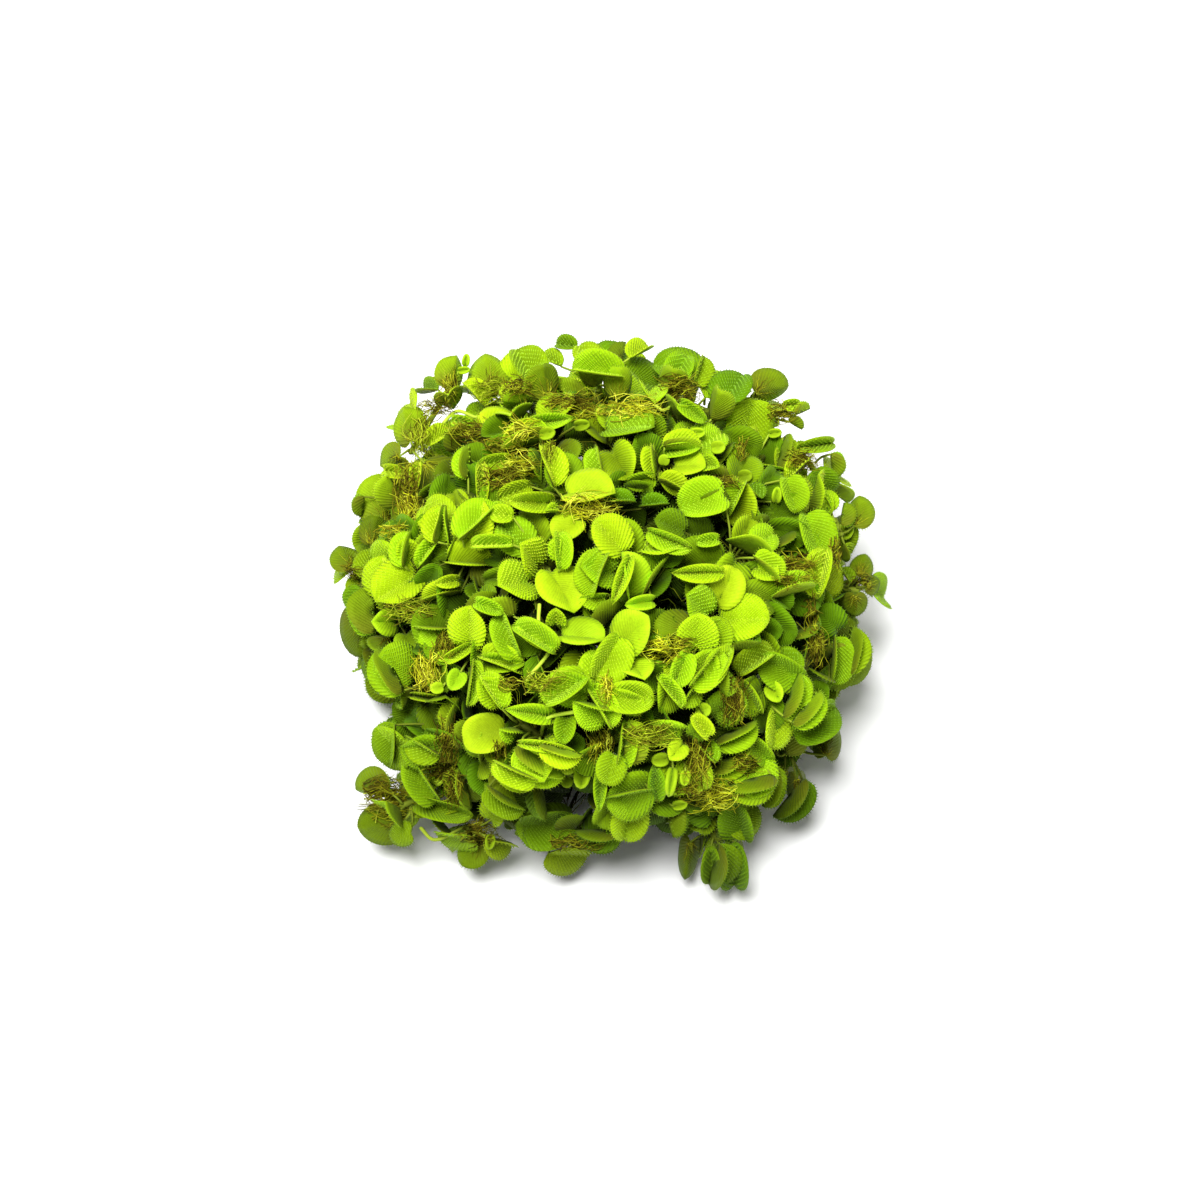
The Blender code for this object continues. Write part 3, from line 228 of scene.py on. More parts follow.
# Folded leaves in front of others: middle, length, turn in degrees, width share, brightness
FRONT_LEAVES = (
    (547, 470, 44, 110, 0.5, 1.0), (469, 465, 34, 92, 0.38, 0.8), (481, 487, 42, 95, 0.3, 0.8),
    (495, 545, 44, 0, 0.36, 1.0), (503, 515, 24, 170, 0.85, 0.9), (418, 478, 28, 92, 0.32, 1.0),
    (408, 552, 38, 80, 0.5, 0.95), (430, 551, 38, 55, 0.4, 0.9), (530, 444, 52, 22, 0.3, 0.8),
    (527, 402, 46, -3, 0.26, 1.0), (600, 374, 56, -8, 0.45, 0.9), (559, 553, 38, 95, 0.45, 1.0),
    (680, 449, 40, -3, 0.3, 1.0), (655, 462, 34, 95, 0.3, 0.95), (672, 487, 34, -25, 0.55, 0.9),
    (641, 479, 32, 12, 0.55, 0.9), (692, 411, 34, -40, 0.42, 0.7), (779, 457, 40, 70, 0.4, 0.7),
    (797, 475, 34, 42, 0.45, 0.85), (791, 493, 38, 100, 0.75, 0.6), (826, 504, 26, 95, 0.5, 1.0),
    (765, 568, 38, -42, 0.42, 0.85), (822, 577, 52, 72, 0.55, 0.8), (790, 594, 46, 15, 0.4, 0.9),
    (700, 572, 50, 3, 0.4, 1.0), (437, 628, 40, -5, 0.55, 0.8), (460, 651, 32, 28, 0.42, 0.95),
    (511, 638, 48, -68, 0.5, 0.7), (537, 640, 50, -32, 0.5, 0.9), (500, 665, 46, -20, 0.48, 0.9),
    (492, 694, 42, -55, 0.5, 0.9), (470, 680, 46, 80, 0.32, 0.65), (560, 748, 42, -14, 0.4, 1.0),
    (540, 757, 56, -28, 0.45, 0.9), (518, 771, 48, -25, 0.3, 0.8), (443, 807, 58, -6, 0.26, 0.75),
    (703, 670, 48, 52, 0.42, 0.9), (668, 691, 40, -52, 0.38, 0.9), (731, 731, 48, 26, 0.38, 0.8),
    (728, 757, 46, 31, 0.26, 0.75), (758, 749, 32, -48, 0.5, 0.8), (752, 778, 48, 6, 0.5, 0.65),
    (788, 697, 48, 72, 0.38, 0.5), (802, 708, 44, 50, 0.3, 0.75), (832, 658, 52, 84, 0.36, 0.55),
    (848, 652, 50, 78, 0.28, 0.5), (621, 745, 46, 82, 0.4, 0.65), (655, 783, 36, 95, 0.5, 0.35),
    (715, 862, 46, 88, 0.55, 0.2), (735, 860, 46, 98, 0.45, 0.25), (622, 578, 50, 70, 0.36, 1.0),
    (652, 580, 52, 58, 0.5, 0.9), (598, 706, 46, -62, 0.42, 1.0), (478, 526, 52, 42, 0.65, 0.95),
    (468, 563, 46, -5, 0.65, 0.85), (442, 527, 40, 78, 0.6, 0.85), (445, 597, 40, 12, 0.45, 0.9),
    (488, 607, 30, -22, 0.4, 0.9), (497, 461, 34, 10, 0.5, 0.7), (516, 491, 36, 20, 0.6, 0.8),
    (601, 466, 34, 100, 0.5, 0.75), (598, 573, 46, 70, 0.7, 0.65), (704, 501, 50, 18, 0.8, 0.95),
    (736, 500, 40, 62, 0.5, 0.8), (668, 538, 48, -22, 0.32, 0.85), (708, 541, 24, 10, 0.6, 0.9),
    (812, 535, 52, -75, 0.85, 0.55), (425, 781, 54, -60, 0.5, 0.75), (466, 786, 42, 95, 0.6, 0.8),
    (505, 796, 46, -30, 0.42, 0.25), (547, 824, 56, 12, 0.75, 0.2), (600, 830, 46, 0, 0.6, 0.05),
    (568, 690, 50, 35, 0.55, 0.7), (607, 656, 52, 60, 0.72, 0.85), (752, 697, 38, -60, 0.75, 0.5),
    (701, 727, 28, -50, 0.5, 0.95), (723, 669, 42, 60, 0.6, 0.6), (680, 668, 38, 65, 0.62, 0.9),
    (628, 698, 46, 0, 0.72, 0.85), (630, 793, 50, 10, 0.8, 0.3), (740, 818, 44, -75, 0.65, 0.2),
    (812, 722, 54, 25, 0.7, 0.25), (782, 668, 46, -30, 0.7, 0.4), (753, 664, 44, 30, 0.42, 0.5),
    (395, 672, 52, -58, 0.45, 0.5), (395, 742, 44, 80, 0.8, 0.3), (426, 746, 40, -25, 0.5, 0.45),
    (790, 795, 52, 55, 0.45, 0.0),
)

# Leaves that are folded nearly shut
SHUT = ((797, 796), (783, 783), (712, 862), (736, 860), (688, 858), (775, 780))
SHUT_FOLD = (0.9, 1.1)

# Buds in the picture: middle, width and height
BUDS = (
    (466, 360, 8, 14), (464, 370, 14, 8), (697, 433, 18, 11), (718, 447, 16, 14), (775, 433, 15, 10),
    (547, 433, 18, 14), (531, 432, 16, 10), (582, 425, 18, 12), (664, 460, 12, 12), (745, 476, 16, 14),
    (777, 495, 10, 18), (846, 531, 16, 20), (620, 677, 12, 12), (443, 656, 14, 12), (437, 688, 14, 12),
    (617, 722, 10, 10), (766, 679, 9, 8), (490, 842, 10, 16), (582, 777, 16, 24), (567, 782, 12, 12),
    (671, 782, 10, 30), (660, 760, 18, 14), (703, 710, 17, 15), (685, 778, 10, 16), (680, 805, 16, 10),
)

GOLDEN, BROWN, GREENISH = "golden", "brown", "greenish"

# Tangles of fronds in the picture: middle, width, height and colour
CLUMPS = (
    (450, 385, 16, 32, BROWN), (437, 408, 32, 12, BROWN), (519, 386, 24, 20, BROWN),
    (490, 390, 30, 22, GREENISH), (573, 403, 48, 16, BROWN), (592, 413, 40, 10, GOLDEN),
    (634, 408, 50, 15, GOLDEN), (681, 388, 36, 24, BROWN), (784, 412, 22, 20, BROWN),
    (742, 450, 12, 20, BROWN), (804, 460, 26, 20, BROWN), (422, 436, 20, 40, GREENISH),
    (407, 492, 18, 50, BROWN), (410, 512, 20, 30, GOLDEN), (392, 530, 26, 12, GOLDEN),
    (474, 432, 44, 18, BROWN), (502, 446, 32, 14, BROWN), (522, 430, 30, 24, GOLDEN),
    (502, 478, 34, 20, BROWN), (522, 466, 32, 24, GOLDEN), (548, 452, 16, 18, GREENISH),
    (727, 481, 26, 12, BROWN), (590, 508, 46, 22, GOLDEN), (798, 570, 34, 28, BROWN),
    (786, 580, 24, 12, BROWN), (834, 553, 12, 26, BROWN), (862, 582, 20, 14, BROWN),
    (352, 572, 18, 12, BROWN), (412, 611, 46, 16, GREENISH), (445, 645, 20, 22, BROWN),
    (426, 672, 28, 30, GOLDEN), (510, 683, 16, 14, BROWN), (545, 682, 40, 14, GREENISH),
    (663, 648, 34, 24, GOLDEN), (682, 643, 22, 12, BROWN), (606, 690, 12, 28, GOLDEN),
    (600, 744, 24, 26, GOLDEN), (814, 645, 22, 34, BROWN), (812, 612, 10, 28, BROWN),
    (734, 702, 22, 40, BROWN), (650, 735, 44, 22, GREENISH), (700, 762, 24, 40, BROWN),
    (716, 795, 38, 30, GOLDEN), (746, 763, 24, 18, BROWN), (690, 790, 22, 16, BROWN),
    (448, 742, 20, 38, BROWN), (440, 768, 26, 22, BROWN), (455, 790, 20, 30, BROWN),
    (382, 788, 34, 26, BROWN), (388, 796, 44, 24, GOLDEN), (386, 810, 56, 8, GOLDEN),
    (480, 832, 32, 24, BROWN), (500, 752, 16, 16, BROWN), (568, 841, 34, 10, BROWN),
    (600, 848, 30, 10, BROWN),
)

# Loose pale stems in the picture, as the points they pass
LOOSE_STEMS = (
    ((655, 408), (665, 412), (682, 398)), ((540, 605), (540, 625)), ((527, 680), (548, 655)),
    ((440, 430), (458, 413), (478, 419)), ((422, 826), (437, 838)), ((578, 711), (548, 718)),
)

# Colours before light falls on them, linear
LIME = np.array((0.41, 0.62, 0.012))
BRIGHT = np.array((0.48, 0.73, 0.008))
DEEP = np.array((0.16, 0.32, 0.003))
OLIVE = np.array((0.30, 0.47, 0.007))
STAIN = np.array((0.15, 0.16, 0.01))
# Hair tips: partly the hairs' own paleness, partly a painted glint
PALE_TIP_AND_GLINT = np.array((0.09, 0.12, 0.05))
PALE_STEM = np.array((0.46, 0.60, 0.05))
FROND_COLOURS = {
    GOLDEN: ((0.60, 0.64, 0.02), (0.40, 0.40, 0.015), (0.72, 0.80, 0.06), (0.22, 0.19, 0.01)),
    BROWN: ((0.15, 0.13, 0.008), (0.28, 0.27, 0.012), (0.08, 0.06, 0.006), (0.38, 0.42, 0.02)),
    GREENISH: ((0.28, 0.36, 0.01), (0.46, 0.55, 0.03), (0.16, 0.15, 0.01)),
}

# A leaf's brightness: 0 is deep green, 1 bright green and 2 lime
YOUNG_LIGHT, MIDDLING_LIGHT, DARK_LIGHT = (1.5, 1.9), (0.4, 0.62), (0.0, 0.22)
YOUNG_FROM = 1.2

chance = random.Random(7)
noise = np.random.default_rng(7)


def stray():
    return Vector([chance.gauss(0, 1) for _ in range(3)])


def frond_tint(kind):
    """One of the colours of a kind of fronds."""
    return np.array(chance.choice(FROND_COLOURS[kind]))


# Reading the plants from the frame


class Leaf(NamedTuple):
    """Where a leaf's blade starts, its directions, size and fold, and where its stalk starts."""

    base: Vector
    along: Vector
    upper: Vector
    length: float
    fold: float
    root: Vector


class Tuft(NamedTuple):
    start: Vector
    tip: Vector
    radius: float


class Plant(NamedTuple):
    name: str
    stem: list
    leaves: list
    tufts: list


def mean(points):
    return sum(points, Vector()) / len(points)


def welded(node):
    """Points and triangles of a CAD node, with coinciding points made one."""
    mesh = node.data
    mesh.calc_loop_triangles()
    tree = KDTree(len(mesh.vertices))
    for i, vertex in enumerate(mesh.vertices):
        tree.insert(vertex.co, i)
    tree.balance()
    same = {}
    for i, vertex in enumerate(mesh.vertices):
        same[i] = min(j for _, j, _ in tree.find_range(vertex.co, WELD))
    faces = [tuple(same[i] for i in t.vertices) for t in mesh.loop_triangles]
    return {i: mesh.vertices[i].co.copy() for i in set(same.values())}, faces


def read_plant(name, node):
    """Finds the leaves, tufts and stem of a plant's solid by how its points join."""
    points, faces = welded(node)
    uses, near = Counter(), defaultdict(set)
    for face in faces:
        for i in face:
            uses[i] += 1
            near[i] |= set(face) - {i}
    leaves, tufts, taken = [], [], set()
    for tip in points:
        ends = [i for i in near[tip] if uses[i] == END_FACES]
        if uses[tip] == TIP_FACES and len(ends) == 2:
            high = next(iter((near[ends[0]] & near[ends[1]]) - {tip}))
            shoulders = [next(iter(near[i] - {tip, high})) for i in ends]
            lows = near[tip] - {high, *ends, *shoulders}
            taken |= {tip, high, *ends, *shoulders, *lows}
            roots = set().union(*(near[i] for i in lows | {high})) - taken
            base = mean([points[i] for i in lows])
            along = (points[tip] - base).normalized()
            upper = (points[high] - base).normalized()
            across = along.cross(upper)
            end = points[ends[0]] - base
            fold = math.atan2(end.dot(upper), abs(end.dot(across)))
            length = (points[tip] - base).length
            root = mean([points[i] for i in roots])
            leaves.append(Leaf(base, along, upper, length, fold, root))
        elif uses[tip] == END_FACES and all(uses[i] == RING_FACES for i in near[tip]):
            ring = near[tip]
            taken |= {tip, *ring}
            roots = set().union(*(near[i] for i in ring)) - taken
            middle = mean([points[i] for i in ring])
            radius = sum((points[i] - middle).length for i in ring) / len(ring)
            tufts.append(Tuft(mean([points[i] for i in roots]), points[tip], radius))
    stem = [points[i] for i in points if i not in taken]
    return Plant(name, stem_line(stem), leaves, tufts)


def stem_line(points):
    """Middle line of a stem from its rings and its two pointed ends."""
    array = np.array(points)
    middle = array.mean(0)
    axis = np.linalg.svd(array - middle)[2][0]
    ordered = array[np.argsort((array - middle) @ axis)]
    inner = ordered[1:-1]
    starts = range(0, len(inner) - STEM_POINTS + 1, STEM_POINTS)
    rings = [inner[i : i + STEM_POINTS].mean(0) for i in starts]
    return [Vector(p) for p in (ordered[0], *rings, ordered[-1])]


plants = [read_plant(name, node) for name, node in sorted(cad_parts.items())]
under = mean([mean(p.stem) for p in plants if p.name.startswith("under")])
MOUND_CENTRE = Vector((under.x, under.y, MOUND_HEIGHT))
EYE = MOUND_CENTRE + TO_EYE * VIEW_DISTANCE


# Places in the picture and in the mound


def picture_place(point):
    """Where a point of space shows in the picture."""
    offset = point - EYE
    unit = -offset.dot(TO_EYE) / VIEW_DISTANCE * PICTURE_UNIT
    return (
        PICTURE_CENTRE_X + offset.dot(RIGHT) / unit,
        PICTURE_CENTRE_Y - offset.dot(UPWARD) / unit,
    )


def sight_line(x, y):
    """Direction from the eye through a picture point."""
    side = RIGHT * ((x - PICTURE_CENTRE_X) * PICTURE_UNIT)
    rise = UPWARD * ((PICTURE_CENTRE_Y - y) * PICTURE_UNIT)
    return (MOUND_CENTRE + side + rise - EYE).normalized()


def on_mound(x, y):
    """Where a sight line meets the mound's surface, or passes nearest to it."""
    ray = sight_line(x, y)
    start = Vector([a / b for a, b in zip(EYE - MOUND_CENTRE, CANOPY_HALF_AXES)])
    step = Vector([a / b for a, b in zip(ray, CANOPY_HALF_AXES)])
    across, square = start.dot(step), step.dot(step)
    inside = max(0.0, across * across - square * (start.dot(start) - 1))
    point = EYE + ray * ((-across - math.sqrt(inside)) / square)
    if point.z < LOWEST_SIGHT:
        point = EYE + ray * ((LOWEST_SIGHT - EYE.z) / ray.z)
    return point


def canopy_offset(spoke):
    """A spoke of the unit ball, stretched to the mound."""
    return Vector([a * b for a, b in zip(spoke, CANOPY_HALF_AXES)])


def outward(point):
    """The mound's outward direction beside a point."""
    offset = point - MOUND_CENTRE
    return Vector([a / (b * b) for a, b in zip(offset, CANOPY_HALF_AXES)]).normalized()


def daylight(point):
    """Where the light for a leaf at a point comes from: outwards and from above."""
    out = outward(point)
    return Vector((out.x, out.y, max(out.z, 0) + SKYWARD)).normalized()


def canopy_depth(point):
    """How far a point lies under the mound's surface."""
    offset = point - MOUND_CENTRE
    share = math.sqrt(sum((a / b) ** 2 for a, b in zip(offset, CANOPY_HALF_AXES)))
    return (1 / max(share, 0.01) - 1) * offset.length


def painted_depth_shade(points):
    """Painted shade: how much of its colour each of many points keeps, darker by its depth and nearer
    the floor.
    """
    offset = points - np.array(MOUND_CENTRE)
    share = np.linalg.norm(offset / np.array(CANOPY_HALF_AXES), axis=1)
    depth = (1 / np.maximum(share, 0.05) - 1) * np.linalg.norm(offset, axis=1)
    below = np.clip(1.0 - (depth - SHADE_START) / SHADE_DEPTH, SHADE_LEAST, SHADE_MOST)
    height = FLOOR_LIGHT + ADDED_LIGHT * np.clip(points[:, 2] / LIT_HEIGHT, 0, 1)
    return (below * height)[:, None]


# Meshes gathered part by part

LEAF, STEM, FROND = 0, 1, 2


class Blades:
    """The blades made so far, which later growth is laid on."""

    def __init__(self):
        self.points, self.faces, self.count, self.tree = [], [], 0, None

    def add(self, points, faces):
        self.points.append(points)
        self.faces.append(faces + self.count)
        self.count += len(points)

    def close(self):
        points, faces = np.vstack(self.points), np.vstack(self.faces)
        self.tree = BVHTree.FromPolygons(points.tolist(), faces.tolist())


blades = Blades()


class Growth:
    """Points and triangles of one piece, with the colour and the surface place of each point."""

    def __init__(self):
        self.parts, self.count = [], 0

    def add(self, points, faces, tints, places, kind):
        points = np.array(points, float)
        low = points[:, 2] < RESTING
        points[low, 2] = RESTING * np.exp(points[low, 2] / RESTING - 1)
        shifted = np.asarray(faces, np.int64) + self.count
        spread = [np.broadcast_to(values, points.shape) for values in (tints, places)]
        self.parts.append((points, shifted, *spread, np.full(len(faces), kind)))
        self.count += len(points)

    def mesh(self, name, materials):
        points, faces, tints, places, kinds = map(np.concatenate, zip(*self.parts))
        mesh = bpy.data.meshes.new(name)
        mesh.vertices.add(len(points))
        mesh.loops.add(faces.size)
        mesh.polygons.add(len(faces))
        for rows, field, values, form in (
            (mesh.vertices, "co", points, np.float32),
            (mesh.loops, "vertex_index", faces, np.int32),
            (mesh.polygons, "loop_start", np.arange(0, faces.size, 3), np.int32),
            (mesh.polygons, "material_index", kinds, np.int32),
            (mesh.polygons, "use_smooth", np.ones(len(faces)), bool),
        ):
            rows.foreach_set(field, values.astype(form).ravel())
        mesh.update(calc_edges=True)
        # Painted shade: the colours get darker deeper under the mound's surface and nearer the floor
        colours = np.clip(tints * painted_depth_shade(points), 0, 1)
        colours = np.hstack([colours, np.ones((len(colours), 1))])
        for key, kind, field, values in (
            ("tint", "FLOAT_COLOR", "color", colours),
            ("place", "FLOAT_VECTOR", "vector", places),
        ):
            data = mesh.attributes.new(key, kind, "POINT").data
            data.foreach_set(field, values.astype(np.float32).ravel())
        for material in materials:
            mesh.materials.append(material)
        mesh.validate()
        return mesh


# A leaf's surface


def rim_reach(angles, heart):
    """How far the rim lies from a leaf's middle, with a notch at its base and a slight one ahead."""
    from_base = (angles + math.pi / 2 + math.pi) % math.tau - math.pi
    from_tip = (angles - math.pi / 2 + math.pi) % math.tau - math.pi
    base = BASE_NOTCH * np.exp(-((from_base / BASE_SPREAD) ** 2))
    tip = TIP_NOTCH * heart * np.exp(-((from_tip / TIP_SPREAD) ** 2))
    return 1 - base - tip + BLUNT * np.cos(4 * (angles - math.pi / 4))


class Surface:
    """Bends flat points of a leaf into its cupped shape."""

    def __init__(self, leaf, droop, bow, ruffle, heart, thickness):
        self.leaf = leaf
        self.half = leaf.length * HALF_WIDTH
        self.start = leaf.fold + droop
        self.rate = -2 * droop / self.half
        self.bow, self.ruffle, self.heart = bow, ruffle, heart
        self.phase = chance.uniform(0, math.tau)
        self.thickness = thickness
        self.axes = np.array([leaf.along.cross(leaf.upper), leaf.along, leaf.upper])
        self.base = np.array(leaf.base)

    def place(self, side, ahead, height):
        """Points of space for flat places: side and ahead in metres, height over the middle layer."""
        reach, hand = np.abs(side), np.sign(side)
        angle = self.start + self.rate * reach
        if abs(self.rate) < 1e-3:
            x, z = reach * math.cos(self.start), reach * math.sin(self.start)
        else:
            x = (np.sin(angle) - math.sin(self.start)) / self.rate
            z = (math.cos(self.start) - np.cos(angle)) / self.rate
        length = self.leaf.length
        share = ahead / length
        radial = np.hypot(reach / self.half, 2 * share - 1)
        turn = np.arctan2(2 * share - 1, side / self.half)
        z = z + self.bow * length * share**2
        z = z + self.ruffle * length * radial**3 * np.sin(3 * turn + self.phase)
        tilt = np.where(hand == 0, 0, np.sin(angle) * hand)
        flat = np.stack(
            [x * hand - tilt * height, ahead, z + np.sqrt(1 - tilt**2) * height], axis=1
        )
        return self.base + flat @ self.axes

    def row(self, side, ahead):
        """Number of the row of hairs at a flat place: rows leave the midrib like a fan."""
        reach = np.abs(side)
        return (ahead - ROW_SLOPE * reach) / (1 + ROW_FAN * reach / self.leaf.length) / ROW_PITCH


class Disc:
    """The flat pattern of a blade: two layers of one middle point and rings, and their edge."""

    def __init__(self, steps, rings):
        turns = math.pi / 2 + np.arange(steps) * math.tau / steps
        self.radii = np.concatenate([[0], np.repeat(rings, steps)])
        self.angles = np.concatenate([[0], np.tile(turns, len(rings))])
        count = len(self.radii)
        layer, edge = [], []
        for k in range(steps):
            following = (k + 1) % steps
            layer.append((0, 1 + k, 1 + following))
            for ring in range(len(rings) - 1):
                a, b = 1 + ring * steps, 1 + (ring + 1) * steps
                layer.append((a + k, b + k, b + following))
                layer.append((a + k, b + following, a + following))
            a, b = count - steps + k, count - steps + following
            edge.append((a, a + count, b + count))
            edge.append((a, b + count, b))
        layer = np.array(layer)
        self.faces = np.vstack([layer, layer[:, ::-1] + count, edge])


FINE_DISC = Disc(RIM_STEPS, RINGS)
PLAIN_DISC = Disc(18, (0.55, 1.0))
BUD_DISC = Disc(14, (0.5, 0.85, 1.0))
HAIR_FACES = np.array([(0, 1, 3), (1, 2, 3), (2, 0, 3), (0, 2, 1)])


def add_blade(growth, surface, top, under, disc=FINE_DISC, ridged=1.0):
    """The leaf's two faces and its edge."""
    radii, angles = disc.radii, disc.angles
    reach = radii * rim_reach(angles, surface.heart)
    side = reach * np.cos(angles) * surface.half
    ahead = surface.leaf.length * (0.5 + 0.5 * reach * np.sin(angles))
    side[np.abs(side) < 1e-7] = 0
    thick = surface.thickness * (1 - 0.6 * radii**3)
    upper = surface.place(side, ahead, thick * 0.6)
    lower = surface.place(side, ahead, thick * -0.4)
    row = surface.row(side, ahead)
    # Painted shade: the upper face darkens towards its midrib the more the leaf is folded, and
    # lightens towards its rim
    hollow = min(1.0, surface.leaf.fold / 0.8)
    shade = 0.9 - 0.28 * hollow + (0.14 + 0.3 * hollow) * radii[:, None] ** 2
    top_tints = top * shade * (1 - 0.16 * ridged)
    stain = 0.75 * ridged * np.exp(-(((ahead / surface.leaf.length - 0.1) / 0.4) ** 2))[:, None]
    under_tints = (under * (1 - stain) + STAIN * stain) * (0.8 + 0.3 * radii[:, None])
    places = [
        np.stack([row, radii, np.full_like(row, ridge)], axis=1)
        for ridge in (ridged, UNDER_RIDGE * ridged)
    ]
    points = np.vstack([upper, lower])
    tints = np.vstack([top_tints, under_tints])
    growth.add(points, disc.faces, tints, np.vstack(places), LEAF)
    blades.add(points, disc.faces)


def add_hairs(growth, corners, tint, tip_tint):
    """Closed three-sided hairs, from arrays of their three feet and tip."""
    count = len(corners[0])
    points = np.stack(corners, axis=1).reshape(-1, 3)
    faces = (np.arange(count)[:, None, None] * 4 + HAIR_FACES).reshape(-1, 3)
    tints = np.tile(np.array([tint, tint, tint, tip_tint]), (count, 1))
    growth.add(points, faces, tints, (0, 1, 0), LEAF)


def add_rows(growth, surface, top, hair):
    """Rows of hairs over the leaf's upper face."""
    length = surface.leaf.length
    numbers = np.arange(FIRST_ROW, LAST_ROW + 1), np.arange(ROW_HAIRS)
    rows, steps = (grid.ravel() for grid in np.meshgrid(*numbers, indexing="ij"))
    slope = np.arctan(ROW_SLOPE + ROW_FAN * rows * ROW_PITCH / length)
    run = (steps + 0.4 + 0.5 * (rows % 2)) * HAIR_STEP
    side = run * np.cos(slope)
    ahead = rows * ROW_PITCH + run * np.sin(slope)
    side, ahead = np.concatenate([side, -side]), np.concatenate([ahead, ahead])
    slope = np.concatenate([slope, slope])
    side = side + noise.normal(0, HAIR_STRAY, side.shape)
    ahead = ahead + noise.normal(0, HAIR_STRAY, side.shape)
    x, y = side / surface.half, 2 * ahead / length - 1
    inside = np.hypot(x, y) < ROWS_REACH * rim_reach(np.arctan2(y, x), surface.heart)
    side, ahead, slope = side[inside], ahead[inside], slope[inside]
    hand = np.sign(side)
    along_x, along_y = np.cos(slope) * hand, np.sin(slope)
    back, front, half, tall = hair
    height = surface.thickness * 0.5 + tall * noise.uniform(0.75, 1.2, side.shape)

    def foot(run, cross):
        return surface.place(
            side + along_x * run - along_y * cross * hand,
            ahead + along_y * run + along_x * cross * hand,
            np.full_like(side, 0.02 * MM),
        )

    feet = [foot(-back, half), foot(-back, -half)]
    flip = (hand < 0)[:, None]
    first, second = np.where(flip, feet[0], feet[1]), np.where(flip, feet[1], feet[0])
    tip = surface.place(side + along_x * HAIR_LEAN, ahead + along_y * HAIR_LEAN, height)
    # Hair tips are brighter and paler: partly their own colour, partly a painted glint
    add_hairs(growth, [first, second, foot(front, 0), tip], top * 0.85, top * 1.3 + PALE_TIP_AND_GLINT)


def add_margin(growth, surface, top, tall, pitch=MARGIN_PITCH):
    """Hairs round the leaf's rim, pointing outwards and a little up."""
    length = surface.leaf.length
    count = max(12, round(math.pi * length * 0.97 / pitch))
    angles = -math.pi / 2 + (np.arange(count) + 0.5) * math.tau / count
    reach = rim_reach(angles, surface.heart) * MARGIN_REACH
    spin = noise.uniform(-0.12, 0.12, count)
    out_x, out_y = np.cos(angles + spin), np.sin(angles + spin)
    side = reach * np.cos(angles) * surface.half
    ahead = length * (0.5 + 0.5 * reach * np.sin(angles))
    hair = tall * noise.uniform(0.7, 1.15, count)

    def foot(out, cross, height):
        return surface.place(
            side + out_x * out - out_y * cross, ahead + out_y * out + out_x * cross,
            np.full_like(side, height),
        )

    lift = surface.thickness * 0.12
    corners = [
        foot(0, -MARGIN_HALF, lift), foot(0, MARGIN_HALF, lift), foot(-2 * MARGIN_HALF, 0, lift),
        foot(hair, 0, lift + 0.3 * tall),
    ]
    # Hair tips are brighter and paler: partly their own colour, partly a painted glint
    add_hairs(growth, corners, top, top * 1.35 + PALE_TIP_AND_GLINT)


def add_tube(growth, path, radii, sides, tint, kind, brighter=1.0):
    """A closed tube with pointed ends along a path, whose end may be brighter than its start."""
    path = np.asarray(path, float)
    heading = np.gradient(path, axis=0)
    heading /= np.linalg.norm(heading, axis=1)[:, None] + 1e-12
    across = np.cross(heading[0], (0.31, 0.52, 0.79))
    angles = np.arange(sides) * math.tau / sides
    rings = []
    for point, way, radius in zip(path, heading, radii):
        across = across - way * across.dot(way)
        across /= np.linalg.norm(across) + 1e-12
        rise = np.cross(way, across)
        spokes = np.outer(np.cos(angles), across) + np.outer(np.sin(angles), rise)
        rings.append(point + spokes * radius)
    ends = [path[0] - heading[0] * radii[0] * 0.6, path[-1] + heading[-1] * radii[-1] * 0.6]
    points = np.vstack([*rings, ends])
    last, top = len(points) - 1, (len(path) - 1) * sides
    faces = []
    for k in range(sides):
        following = (k + 1) % sides
        faces.append((last - 1, following, k))
        for a in range(0, top, sides):
            b = a + sides
            faces += [(a + k, a + following, b + following), (a + k, b + following, b + k)]
        faces.append((top + k, top + following, last))
    share = np.concatenate([np.repeat(np.linspace(0, 1, len(path)), sides), [0, 1]])[:, None]
    growth.add(points, faces, tint * (1 + (brighter - 1) * share), (0, 0, 0), kind)


def curve(points, steps):
    """Points spaced along a smooth curve through given points."""
    array = np.array([tuple(p) for p in points])
    padded = np.vstack([2 * array[0] - array[1], array, 2 * array[-1] - array[-2]])
    found = []
    for i in range(len(array) - 1):
        a, b, c, d = padded[i : i + 4]
        for t in np.arange(steps) / steps:
            found.append(
                0.5 * ((2 * b) + (c - a) * t + (2 * a - 5 * b + 4 * c - d) * t**2
                       + (3 * b - a - 3 * c + d) * t**3)
            )
    return np.vstack([found, array[-1:]])


def add_frond(growth, start, end, spread, colour, radius=FROND_RADIUS):
    """One wavy root-like frond that strays by up to spread from its straight line."""
    start, end = np.array(start), np.array(end)
    shares = np.linspace(0, 1, FROND_STEPS)[:, None]
    way = end - start
    side = np.cross(way, (0.4, -0.3, 0.86))
    side /= np.linalg.norm(side) + 1e-12
    rise = np.cross(way, side)
    rise /= np.linalg.norm(rise) + 1e-12
    path = start + way * shares
    for axis in (side, rise):
        first, second = noise.uniform(-1, 1, 2) * spread
        a, b = noise.uniform(0, math.tau, 2)
        wave = first * np.sin(shares * 4.2 + a) + 0.5 * second * np.sin(shares * 12 + b)
        path = path + axis * (wave * np.sqrt(shares) + noise.normal(0, 0.12 * MM, wave.shape))
    path[:, 2] = np.maximum(path[:, 2], LOWEST_FROND)
    radii = radius * np.linspace(1.15, 0.55, FROND_STEPS)
    tint = colour * noise.uniform(0.75, 1.3)
    add_tube(growth, path, radii, 3, tint, FROND, 1.15)


# Growing each plant


def leaf_middle(leaf):
    return leaf.base + leaf.along * (leaf.length / 2)


